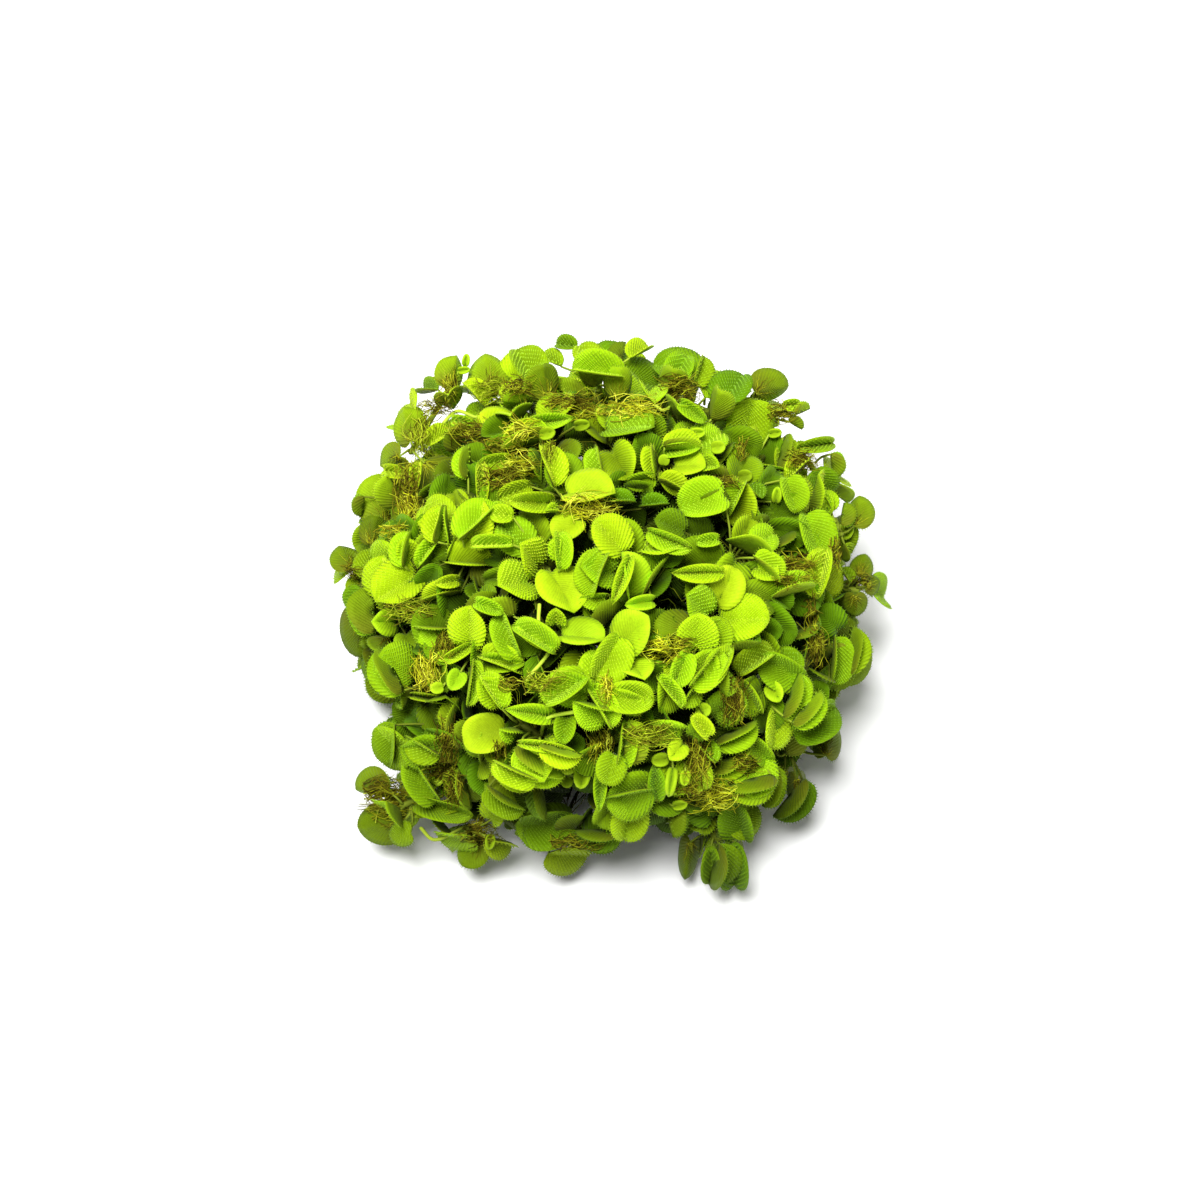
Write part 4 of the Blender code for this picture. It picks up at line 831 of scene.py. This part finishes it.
def leaf_way(leaf, angle):
    """A direction in a leaf's plane, turned from its side towards its tip."""
    across = leaf.along.cross(leaf.upper)
    return leaf.along * math.sin(angle) + across * math.cos(angle)


def turned(vector, axis, angle):
    """A vector turned about an axis square to it."""
    return vector * math.cos(angle) + axis.cross(vector) * math.sin(angle)


def leaves_at(places, pixels):
    """The foremost leaf within some pixels of each of some picture places."""
    shown = [
        ((leaf_middle(leaf) - EYE).length, id(leaf), picture_place(leaf_middle(leaf)))
        for plant in plants
        for leaf in plant.leaves
    ]
    found = set()
    for x, y in places:
        near = [s[:2] for s in shown if math.hypot(s[2][0] - x, s[2][1] - y) < pixels]
        if near:
            found.add(min(near)[1])
    return found


young_leaves = leaves_at(YOUNG, 13)
dark_leaves = leaves_at(DARK, 12) - young_leaves
middling_leaves = leaves_at(MIDDLING, 12) - young_leaves - dark_leaves
turned_leaves = leaves_at(UNDERSIDES, 14)
shut_leaves = leaves_at(SHUT, 14)


def right_way_up(leaf):
    """The leaf with its hairy side outwards, unless the picture shows its underside."""
    if id(leaf) in shut_leaves:
        return leaf._replace(fold=chance.uniform(*SHUT_FOLD))
    if id(leaf) in turned_leaves or leaf.upper.dot(daylight(leaf_middle(leaf))) > AWAY:
        return leaf
    return leaf._replace(upper=-leaf.upper, fold=-leaf.fold)


def brightness(leaf):
    """How bright a leaf's colour is: from the picture, or else from its place in the mound, with
    painted shade making deeper and lower leaves darker.
    """
    for leaves, lights in (
        (young_leaves, YOUNG_LIGHT), (dark_leaves, DARK_LIGHT), (middling_leaves, MIDDLING_LIGHT),
    ):
        if id(leaf) in leaves:
            return chance.uniform(*lights)
    middle = leaf_middle(leaf)
    # Painted shade: deeper and lower leaves get a darker colour
    light = 0.95 - canopy_depth(middle) / (8 * MM) * 0.4 + chance.uniform(-0.15, 0.15)
    light += 0.5 * min(0, middle.z / (60 * MM) - 0.5)
    return min(max(light, 0.0), 1.05)


def leaf_colours(light):
    """Colours of a leaf's upper and under side."""
    top = DEEP + (BRIGHT - DEEP) * min(light, 1)
    if light > 1:
        top = BRIGHT + (LIME - BRIGHT) * (light - 1)
    top = top * np.array((chance.uniform(0.88, 1.1), 1, 1))
    under = OLIVE * (0.4 + 0.45 * min(light, 1.1)) * chance.uniform(0.85, 1.15)
    return top, under


def add_stalk(growth, leaf, light):
    notch = leaf.base + leaf.along * (leaf.length * BASE_NOTCH * 0.62)
    sag = leaf.root.lerp(leaf.base, 0.5) - leaf.upper * STALK_SAG
    path = curve([leaf.root, sag, notch], 3)
    radii = np.linspace(STALK_RADIUS * 1.1, STALK_RADIUS * 0.8, len(path))
    # The stalk's colour follows its leaf's brightness, painted shade included
    add_tube(growth, path, radii, 4, PALE_STEM * (0.25 + 0.6 * min(light, 1)), STEM)


def leaf_surface(leaf, thickness):
    """A leaf's surface, with a droop, bow, ruffle and tip of its own."""
    fold = leaf.fold + chance.uniform(0, FOLD_EXCESS)
    leaf = leaf._replace(fold=fold, length=leaf.length * LENGTH_EXCESS)
    droops, bows = OPEN_BENDS if fold < FOLDED else FOLDED_BENDS
    bends = [chance.uniform(*limits) for limits in (droops, bows, RUFFLE)]
    return Surface(leaf, *bends, chance.choice((0, 0.5, 1)), thickness)


def add_underside_fronds(growth, surface):
    """Brown fronds that fan out from a leaf's base over its underside."""
    length = surface.leaf.length
    shares = np.linspace(0.04, 1, FROND_STEPS)
    for _ in range(UNDERSIDE_FRONDS):
        angle = min(max(chance.gauss(0, 0.5), -UNDERSIDE_SPREAD), UNDERSIDE_SPREAD)
        reach = length * chance.uniform(0.25, 0.85) * (1 - 0.5 * abs(angle))
        side = shares * reach * math.sin(angle) + chance.gauss(0, 0.3) * MM
        side = side + noise.normal(0, 0.12 * MM, FROND_STEPS)
        ahead = length * BASE_NOTCH * 0.6 + shares * reach * math.cos(angle) * 0.85
        below = -surface.thickness * 0.5 - np.abs(noise.normal(0.15, 0.2, FROND_STEPS)) * MM
        path = surface.place(side, ahead, below)
        tint = frond_tint(chance.choice((BROWN, GOLDEN)))
        add_tube(growth, path, np.linspace(0.08, 0.04, FROND_STEPS) * MM, 3, tint, FROND)


def add_leaf(growth, leaf, light):
    """One leaf: its blade, rows of hairs, margin and stalk."""
    young = light > YOUNG_FROM
    top, under = leaf_colours(light)
    surface = leaf_surface(leaf, LEAF_THICKNESS * (1.4 if young else 1))
    add_blade(growth, surface, top, under, ridged=0.35 if young else 1.0)
    if leaf.upper.dot(daylight(leaf_middle(leaf))) < 0:
        add_underside_fronds(growth, surface)
    if not young and canopy_depth(leaf_middle(leaf)) < ROWS_DEPTH:
        hair = SINGLE_HAIR if chance.random() < SINGLE_HAIR_SHARE else DASH_HAIR
        add_rows(growth, surface, top, hair)
    add_margin(growth, surface, top, MARGIN_HAIR * (0.55 if young else 1))
    add_stalk(growth, leaf, light)


def add_plain_leaf(growth, leaf, light):
    """A leaf behind the others, with fewer points and hairs only at its margin."""
    top, under = leaf_colours(light)
    surface = leaf_surface(leaf, LEAF_THICKNESS)
    add_blade(growth, surface, top, under, PLAIN_DISC)
    add_margin(growth, surface, top, MARGIN_HAIR, MARGIN_PITCH * 1.7)
    add_stalk(growth, leaf, light)


def add_tuft(growth, tuft, kind):
    """A bunch of fronds from a stem, spreading to fill its tuft."""
    way = (tuft.tip - tuft.start).normalized()
    side = way.orthogonal().normalized()
    for _ in range(TUFT_FRONDS):
        spoke = turned(side, way, chance.uniform(0, math.tau))
        reach = tuft.radius * math.sqrt(chance.random()) * 1.15
        end = tuft.start.lerp(tuft.tip, chance.uniform(0.6, 1.02)) + spoke * reach
        add_frond(growth, tuft.start, end, tuft.radius * 0.55, frond_tint(kind))


growths = {}
for plant in plants:
    growth = growths[plant.name] = Growth()
    line = curve(plant.stem, 4)
    radii = np.full(len(line), STEM_RADIUS)
    radii[0] = radii[-1] = STEM_RADIUS * 0.5
    add_tube(growth, line, radii, 7, PALE_STEM * 0.55, STEM)
    for leaf in plant.leaves:
        add_leaf(growth, right_way_up(leaf), brightness(leaf))
    for tuft in plant.tufts:
        add_tuft(growth, tuft, chance.choice((BROWN, BROWN, GREENISH)))


# Leaves that fill the mound


class Cover:
    """What stands in the way of a ray: the solids, and round leaves added to them."""

    def __init__(self):
        points, faces = [], []
        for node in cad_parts.values():
            first = len(points)
            points += [vertex.co for vertex in node.data.vertices]
            faces += [[first + i for i in face.vertices] for face in node.data.polygons]
        self.tree = BVHTree.FromPolygons(points, faces)
        self.middles, self.uppers = np.zeros((0, 3)), np.zeros((0, 3))
        self.radii = np.zeros(0)

    def add(self, leaf):
        self.middles = np.vstack([self.middles, leaf_middle(leaf)])
        self.uppers = np.vstack([self.uppers, leaf.upper])
        self.radii = np.append(self.radii, leaf.length * 0.46)

    def reach(self, start, way, limit):
        """How far a ray gets, up to a limit."""
        hit = self.tree.ray_cast(start, way, limit)
        best = limit if hit[0] is None else hit[3]
        slope = self.uppers @ np.array(way)
        slope[np.abs(slope) < 1e-9] = 1e-9
        run = ((self.middles - np.array(start)) * self.uppers).sum(1) / slope
        place = np.array(start) + run[:, None] * np.array(way)
        apart = np.linalg.norm(place - self.middles, axis=1)
        return min([best, *run[(run > 0) & (apart < self.radii)]])

    def room(self, leaf, share):
        """Whether a leaf meets nothing on its way from its middle to its rim."""
        middle, reach = leaf_middle(leaf), leaf.length * 0.5 * share
        for k in range(8):
            if self.reach(middle, leaf_way(leaf, (k + 0.5) * math.tau / 8), reach) < reach:
                return False
        return self.tree.find_nearest(middle)[3] > 0.5 * MM


def in_outline(x, y):
    """Whether the picture shows the mound at a place."""
    if any(math.hypot(x - a, y - b) < half for a, b, half in OPENINGS):
        return False
    inside = False
    for (ax, ay), (bx, by) in zip(OUTLINE, OUTLINE[1:] + OUTLINE[:1]):
        if (ay > y) != (by > y) and x < (bx - ax) * (y - ay) / (by - ay) + ax:
            inside = not inside
    return inside


def in_gap(x, y):
    return any(math.hypot(x - a, y - b) < half for a, b, half in GAPS)


def shows_inside(leaf, over_gaps):
    """Whether all of a leaf stays within the mound that the picture shows, and off its gaps."""
    for k in range(24):
        reach = leaf.length * (0.16, 0.32, 0.48)[k // 8]
        place = picture_place(leaf_middle(leaf) + leaf_way(leaf, k * math.tau / 8) * reach)
        if not in_outline(*place) or (in_gap(*place) and not over_gaps):
            return False
    return True


def in_mound(leaf):
    """Whether a leaf's ends are clear of the floor and hardly leave the mound."""
    ends = (leaf.base, leaf.base + leaf.along * leaf.length)
    return all(end.z > LOWEST_LEAF and canopy_depth(end) > -FILL_OVERHANG for end in ends)


def nearest_stem(point):
    """The growth of the plant whose stem passes nearest to a point, and the place on the stem."""
    best = None
    for plant in plants:
        for a, b in zip(plant.stem, plant.stem[1:]):
            step = b - a
            share = min(max((point - a).dot(step) / step.length_squared, 0), 1)
            place = a + step * share
            distance = (place - point).length
            if best is None or distance < best[0]:
                best = (distance, plant.name, place)
    return growths[best[1]], best[2]


def filling_leaf(point, facing):
    """A leaf about a point, with its upper face roughly one way, and the growth it belongs to."""
    length = chance.uniform(*FILL_LENGTHS)
    growth, root = nearest_stem(point)
    upper = (facing + stray() * FILL_TILT).normalized()
    along = point - root
    along -= upper * along.dot(upper)
    if along.length < 1 * MM:
        along = upper.orthogonal()
    along = turned(along.normalized(), upper, chance.uniform(-0.7, 0.7))
    fold = chance.uniform(0.15, 0.9)
    return growth, Leaf(point - along * (length / 2), along, upper, length, fold, root)


def fill_ray(start, way, surface_distance, open_depth, depths, share):
    """Adds a leaf to a ray that gets too deep below the mound's surface."""
    limit = surface_distance + open_depth
    if cover.reach(start, way, limit) < limit:
        return
    for _ in range(FILL_TRIES):
        depth = chance.uniform(*depths)
        growth, leaf = filling_leaf(start + way * (surface_distance + depth), -way)
        hidden = depth > GAP_DEPTH
        if in_mound(leaf) and shows_inside(leaf, hidden) and cover.room(leaf, share):
            cover.add(leaf)
            # Painted shade: deeper filling leaves get a darker colour
            light = 0.28 - depth / (20 * MM) + chance.uniform(-0.2, 0.2)
            add_plain_leaf(growth, leaf, max(light, 0))
            return


def camera_rays(spacing):
    """Rays through the picture, each with the distance of the mound's surface."""
    places = []
    for y in range(*PICTURE_ROWS, spacing):
        for x in range(*PICTURE_COLUMNS, spacing):
            places.append((x + chance.uniform(-3, 3), y + chance.uniform(-3, 3)))
    chance.shuffle(places)
    for x, y in places:
        if in_outline(x, y):
            yield EYE, sight_line(x, y), (on_mound(x, y) - EYE).length


def outer_rays():
    """Rays from all round the mound towards its inside."""
    for i in range(OUTER_RAYS):
        height = 0.97 - 1.55 * (i + 0.5) / OUTER_RAYS
        turn = i * math.pi * (3 - math.sqrt(5))
        flat = math.sqrt(1 - height * height)
        spoke = (flat * math.cos(turn), flat * math.sin(turn), height)
        point = MOUND_CENTRE + canopy_offset(spoke)
        if point.z > 3 * MM:
            slant = Vector([chance.uniform(-OUTER_SLANT, OUTER_SLANT) for _ in range(3)])
            way = (slant - outward(point)).normalized()
            yield point - way * OUTER_START, way, OUTER_START


def plug_holes():
    """Adds dark leaves deep in the mound where a sight line would pass all the blades."""
    plugged = []
    for start, way, distance in camera_rays(PLUG_PIXELS):
        behind = start + way * distance
        near = any((behind - place).length < PLUG_APART for place in plugged)
        if near or blades.tree.ray_cast(start, way)[0]:
            continue
        for _ in range(FILL_TRIES):
            growth, leaf = filling_leaf(behind + way * chance.uniform(*PLUG_DEPTHS), -way)
            if in_mound(leaf) and shows_inside(leaf, True):
                # Painted shade: these deep leaves get the darkest colour
                add_plain_leaf(growth, leaf, 0)
                plugged.append(behind)
                break


# What the picture shows and the solids leave out


def sight_reach(x, y):
    """How far a sight line gets before it meets a blade, or None where it meets none in front."""
    ray = sight_line(x, y)
    hit = blades.tree.ray_cast(EYE, ray)
    if hit[0] is None or hit[3] > (on_mound(x, y) - EYE).length + MISSED:
        return None
    return hit[3]


def usual_reach(places):
    """The middle one of the distances to the blades at some picture places, or near the first."""
    x, y = places[0]
    groups = [places]
    for percent in range(1, 15):
        share = percent * 0.01
        groups.append([(x + (PICTURE_CENTRE_X - x) * share, y + (PICTURE_CENTRE_Y - y) * share)])
    for group in groups:
        found = sorted(reach for reach in (sight_reach(*place) for place in group) if reach)
        if found:
            return found[len(found) // 2]
    return (on_mound(x, y) - EYE).length


def add_bud(x, y, wide, tall):
    """A small young leaf that shows with a given box in the picture, and its stalk."""
    around = [(x, y), (x - wide / 3, y), (x + wide / 3, y), (x, y - tall / 3), (x, y + tall / 3)]
    toward = -sight_line(x, y)
    point = EYE - toward * (usual_reach(around) - BUD_LIFT)
    growth, root = nearest_stem(point - outward(point) * (4 * MM))
    dx, dy = (1, 0.15) if wide > tall else (0.15, 1)
    root_x, root_y = picture_place(root)
    if dx * (x - root_x) + dy * (root_y - y) < 0:
        dx, dy = -dx, -dy
    along = (RIGHT * dx + UPWARD * dy + toward * 0.25).normalized()
    upper = along.cross(toward).normalized().cross(along)
    length = max(wide, tall) * PICTURE_UNIT
    fold = math.acos(min(1, min(wide, tall) / max(wide, tall) * 0.97))
    base = point - along * (length / 2)
    leaf = Leaf(base, along, upper, length, fold, root)
    surface = Surface(leaf, -0.1, 0.04, 0, 0, 0.2 * length)
    tint = LIME * chance.uniform(0.78, 0.95)
    add_blade(growth, surface, tint, tint * 0.85, BUD_DISC, 0)
    path = curve([root, root.lerp(base, 0.6), base + along * 0.5 * MM], 4)
    add_tube(growth, path, np.full(len(path), 0.3 * MM), 5, PALE_STEM, STEM)


def front_leaf(x, y, size, angle, narrow, light):
    """A folded leaf that lies in front of the others, with its growth and its brightness."""
    angle = math.radians(angle)
    ahead, aside = math.cos(angle) * size, -math.sin(angle) * size
    places = [(x + ahead * k / 8, y + aside * k / 8) for k in range(-4, 5)]
    toward = -sight_line(x, y)
    point = EYE - toward * (usual_reach(places) - FRONT_LIFT)
    growth, root = nearest_stem(point - outward(point) * (5 * MM))
    normal = (outward(point) + toward * 1.2).normalized()
    along = RIGHT * math.cos(angle) + UPWARD * math.sin(angle)
    along = (along - normal * along.dot(normal)).normalized()
    if (root - point).dot(along) > 0:
        along = -along
    length = size * PICTURE_UNIT / math.sqrt(1 - along.dot(toward) ** 2)
    upper = turned(normal, along, chance.uniform(-0.7, 0.7))
    fold = math.acos(narrow) * 0.9
    return growth, Leaf(point - along * (length / 2), along, upper, length, fold, root), light


def add_clump(x, y, wide, tall, kind):
    """A tangle of fronds that lies over the leaves within a box of the picture."""
    grid = [(x + wide * i / 6, y + tall * j / 6) for i in range(-3, 4) for j in range(-3, 4)]
    level = usual_reach(grid)
    centre = EYE + sight_line(x, y) * level
    growth, root = nearest_stem(centre - outward(centre) * (5 * MM))
    heading = 0 if wide > tall else math.pi / 2
    shares = np.linspace(-0.5, 0.5, FROND_STEPS)
    for _ in range(round(12 + wide * tall / 13)):
        turn = heading + chance.gauss(0, 0.5)
        run = math.hypot(wide, tall) * chance.uniform(0.35, 0.8)
        bend = chance.gauss(0, 0.16) * run
        wave = bend * np.cos(shares * math.pi) + noise.normal(0, 0.5, FROND_STEPS)
        middle_x = x + wide * 0.36 * chance.uniform(-1, 1)
        middle_y = y + tall * 0.36 * chance.uniform(-1, 1)
        across = middle_x + shares * run * math.cos(turn) - wave * math.sin(turn)
        down = middle_y + shares * run * math.sin(turn) + wave * math.cos(turn)
        if not all(in_outline(a, b) for a, b in zip(across, down)):
            continue
        lift = abs(chance.gauss(0, 0.9)) * MM
        reaches = [sight_reach(a, b) or level for a, b in zip(across, down)]
        nearest = np.clip(reaches, level - CLUMP_RELIEF, level + CLUMP_RELIEF)
        padded = np.pad(nearest, 1, mode="edge")
        smooth = (padded[:-2] + padded[1:-1] * 2 + padded[2:]) / 4
        far = np.minimum(smooth, nearest) - STRAND_GAP - lift
        path = [EYE + sight_line(a, b) * d for a, b, d in zip(across, down, far)]
        tint = frond_tint(kind) * chance.uniform(0.8, 1.3)
        radii = np.linspace(1.2, 0.6, FROND_STEPS) * CLUMP_RADIUS
        add_tube(growth, path, radii, 3, tint, FROND)
    for _ in range(4):
        add_frond(growth, root, centre + stray() * MM, 1.5 * MM, frond_tint(kind))


def inner_place(most):
    """A random place inside the mound, above the floor."""
    while True:
        spoke = Vector([chance.uniform(-1, 1) for _ in range(3)])
        point = MOUND_CENTRE + canopy_offset(spoke) * most
        if spoke.length < 1 and point.z > 2.5 * MM:
            return point


def add_inner_fronds():
    """The tangle of fronds between the stems inside the mound."""
    for _ in range(INNER_FRONDS):
        start = inner_place(0.86)
        growth, root = nearest_stem(start)
        end = start + stray().normalized() * chance.uniform(10, 24) * MM
        if canopy_depth(end) < 5 * MM or end.z < 1 * MM:
            end = start.lerp(MOUND_CENTRE, 0.5)
        if not all(in_outline(*picture_place(start.lerp(end, k / 4))) for k in range(5)):
            continue
        tint = frond_tint(chance.choice((BROWN, GREENISH)))
        first = root if chance.random() < 0.5 else start
        add_frond(growth, first, end, 4 * MM, tint, FROND_RADIUS * 1.6)


def add_loose_stem(places):
    points = [on_mound(x, y) + outward(on_mound(x, y)) * STEM_LIFT for x, y in places]
    growth, root = nearest_stem(points[-1])
    path = curve([*points, root], 6)
    radii = np.linspace(0.5 * MM, 0.42 * MM, len(path))
    add_tube(growth, path, radii, 6, PALE_STEM * 1.2, STEM)


cover = Cover()
for fill_pass in FILL_PASSES:
    for rays in (camera_rays(FILL_PIXELS), outer_rays()):
        for ray in rays:
            fill_ray(*ray, *fill_pass)
add_inner_fronds()
blades.close()
plug_holes()
for front in [front_leaf(*values) for values in FRONT_LEAVES]:
    add_leaf(*front)
for values in BUDS:
    add_bud(*values)
blades.close()
for values in CLUMPS:
    add_clump(*values)
for places in LOOSE_STEMS:
    add_loose_stem(places)


# Materials


def set_inputs(tree, node, inputs):
    """Sets a node's inputs to values, or links them to the outputs of other nodes."""
    for key, value in inputs.items():
        if isinstance(value, bpy.types.NodeSocket):
            tree.links.new(value, node.inputs[key])
        else:
            node.inputs[key].default_value = value


def add_node(tree, kind, inputs, **settings):
    """The outputs of a new shader node."""
    node = tree.nodes.new("ShaderNode" + kind)
    for key, value in settings.items():
        setattr(node, key, value)
    set_inputs(tree, node, inputs)
    return node.outputs


def calculated(tree, operation, *values):
    return add_node(tree, "Math", dict(enumerate(values)), operation=operation)[0]


def mottle(tree, scale, detail):
    place = add_node(tree, "TexCoord", {})["Object"]
    return add_node(tree, "TexNoise", {"Vector": place, "Scale": scale, "Detail": detail})["Fac"]


def new_material(name):
    """A material, its nodes and its shader."""
    material = bpy.data.materials.new(name)
    material.use_nodes = True
    return material, material.node_tree, material.node_tree.nodes["Principled BSDF"]


def finish_shader(tree, shader, factor, height, relief, inputs):
    """Gives a shader the tint of the points, which holds their painted shade, times a factor, a fine
    relief and its values.
    """
    tint = add_node(tree, "Attribute", {}, attribute_name="tint")["Color"]
    colour = add_node(tree, "VectorMath", {0: tint, "Scale": factor}, operation="SCALE")[0]
    distance, strength = relief
    bumps = {"Height": height, "Distance": distance, "Strength": strength}
    normal = add_node(tree, "Bump", bumps)[0]
    set_inputs(tree, shader, {"Base Color": colour, "Normal": normal, **inputs})


def leaf_material():
    """Ridges along a leaf's rows of hairs, and a mottled colour and relief."""
    material, tree, shader = new_material("leaf")
    place = add_node(tree, "Attribute", {}, attribute_name="place")["Vector"]
    row, _, ridged = add_node(tree, "SeparateXYZ", {0: place})
    wave = calculated(tree, "SINE", calculated(tree, "MULTIPLY", row, math.tau))
    ridge = calculated(tree, "MULTIPLY", wave, ridged)
    fine = mottle(tree, 1500, 2)
    factor = calculated(tree, "MULTIPLY_ADD", ridge, 0.09, 0.66)
    for cloud in (mottle(tree, 260, 3), fine):
        factor = calculated(tree, "MULTIPLY_ADD", cloud, 0.34, factor)
    height = calculated(tree, "MULTIPLY_ADD", fine, 0.35, ridge)
    finish_shader(tree, shader, factor, height, (0.12 * MM, 0.7), {
        "Roughness": 0.5, "Specular IOR Level": 0.16, "Specular Tint": (0.75, 1, 0.25, 1),
        "Sheen Weight": 0.06, "Sheen Tint": (0.7, 1, 0.4, 1),
    })
    return material


def fibre_material(name, roughness, cloud_size, contrast, least, distance):
    """A mottled material for stems or fronds."""
    material, tree, shader = new_material(name)
    cloud = mottle(tree, *cloud_size)
    factor = calculated(tree, "MULTIPLY_ADD", cloud, contrast, least)
    finish_shader(tree, shader, factor, cloud, (distance, 0.5), {
        "Roughness": roughness, "Specular IOR Level": 0.08, "Specular Tint": (1, 0.9, 0.4, 1),
    })
    return material


def placed(name, data):
    """A new object in the scene."""
    made = bpy.data.objects.new(name, data)
    bpy.context.scene.collection.objects.link(made)
    return made


materials = [
    leaf_material(),
    fibre_material("stem", 0.5, (420, 3), 0.5, 0.75, 0.1 * MM),
    fibre_material("frond", 0.6, (700, 2), 0.9, 0.55, 0.08 * MM),
]
for plant in plants:
    name = plant.name + "_growth"
    piece = placed(name, growths[plant.name].mesh(name, materials))
    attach(piece, "root")
    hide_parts(plant.name)


# Floor, light and camera


def make_floor():
    mesh = bpy.data.meshes.new("floor")
    half = FLOOR_HALF
    corners = [(-half, -half, 0), (half, -half, 0), (half, half, 0), (-half, half, 0)]
    mesh.from_pydata(corners, [], [(0, 1, 2, 3)])
    floor = placed("floor", mesh)
    material, tree, shader = new_material("floor")
    values = {"Base Color": FLOOR_COLOUR, "Roughness": 0.9, "Specular IOR Level": 0.1}
    set_inputs(tree, shader, values)
    mesh.materials.append(material)
    floor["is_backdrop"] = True


def add_sun():
    """An even, soft light from above, in front and a little from the left."""
    lamp = bpy.data.lights.new("key", "SUN")
    lamp.energy = SUN_STRENGTH
    lamp.angle = SUN_SOFTNESS
    placed("key", lamp).rotation_euler = (-LIGHT_FROM).to_track_quat("-Z", "Y").to_euler()


def make_sky():
    """White light from all round, which fades from the floor up."""
    world = bpy.data.worlds.new("studio")
    world.use_nodes = True
    sky = world.node_tree
    direction = add_node(sky, "TexCoord", {})["Generated"]
    height = add_node(sky, "SeparateXYZ", {0: direction})[2]
    fading = {"From Min": 0.06, "From Max": 0.4, "To Min": SKY_LOW, "To Max": SKY_HIGH}
    strength = add_node(sky, "MapRange", {"Value": height, **fading})[0]
    set_inputs(sky, sky.nodes["Background"], {"Color": (1, 1, 1, 1), "Strength": strength})
    bpy.context.scene.world = world


make_floor()
add_sun()
make_sky()
view = bpy.context.scene.view_settings
view.view_transform = "Standard"
view.gamma = CONTRAST
view.exposure = EXPOSURE

lens = bpy.data.cameras.new("camera")
lens.lens = LENS_MM
lens.sensor_width = SENSOR_MM
lens.shift_x = (PICTURE_SIDE / 2 - PICTURE_CENTRE_X) / PICTURE_SIDE
lens.shift_y = (PICTURE_CENTRE_Y - PICTURE_SIDE / 2) / PICTURE_SIDE
camera = placed("camera", lens)
camera.location = EYE
camera.rotation_euler = (-TO_EYE).to_track_quat("-Z", "Y").to_euler()
bpy.context.scene.camera = camera

boxes = {"cad": cad_box, "visual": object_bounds()}
{k: [list(corner) for corner in box] for k, box in boxes.items()}
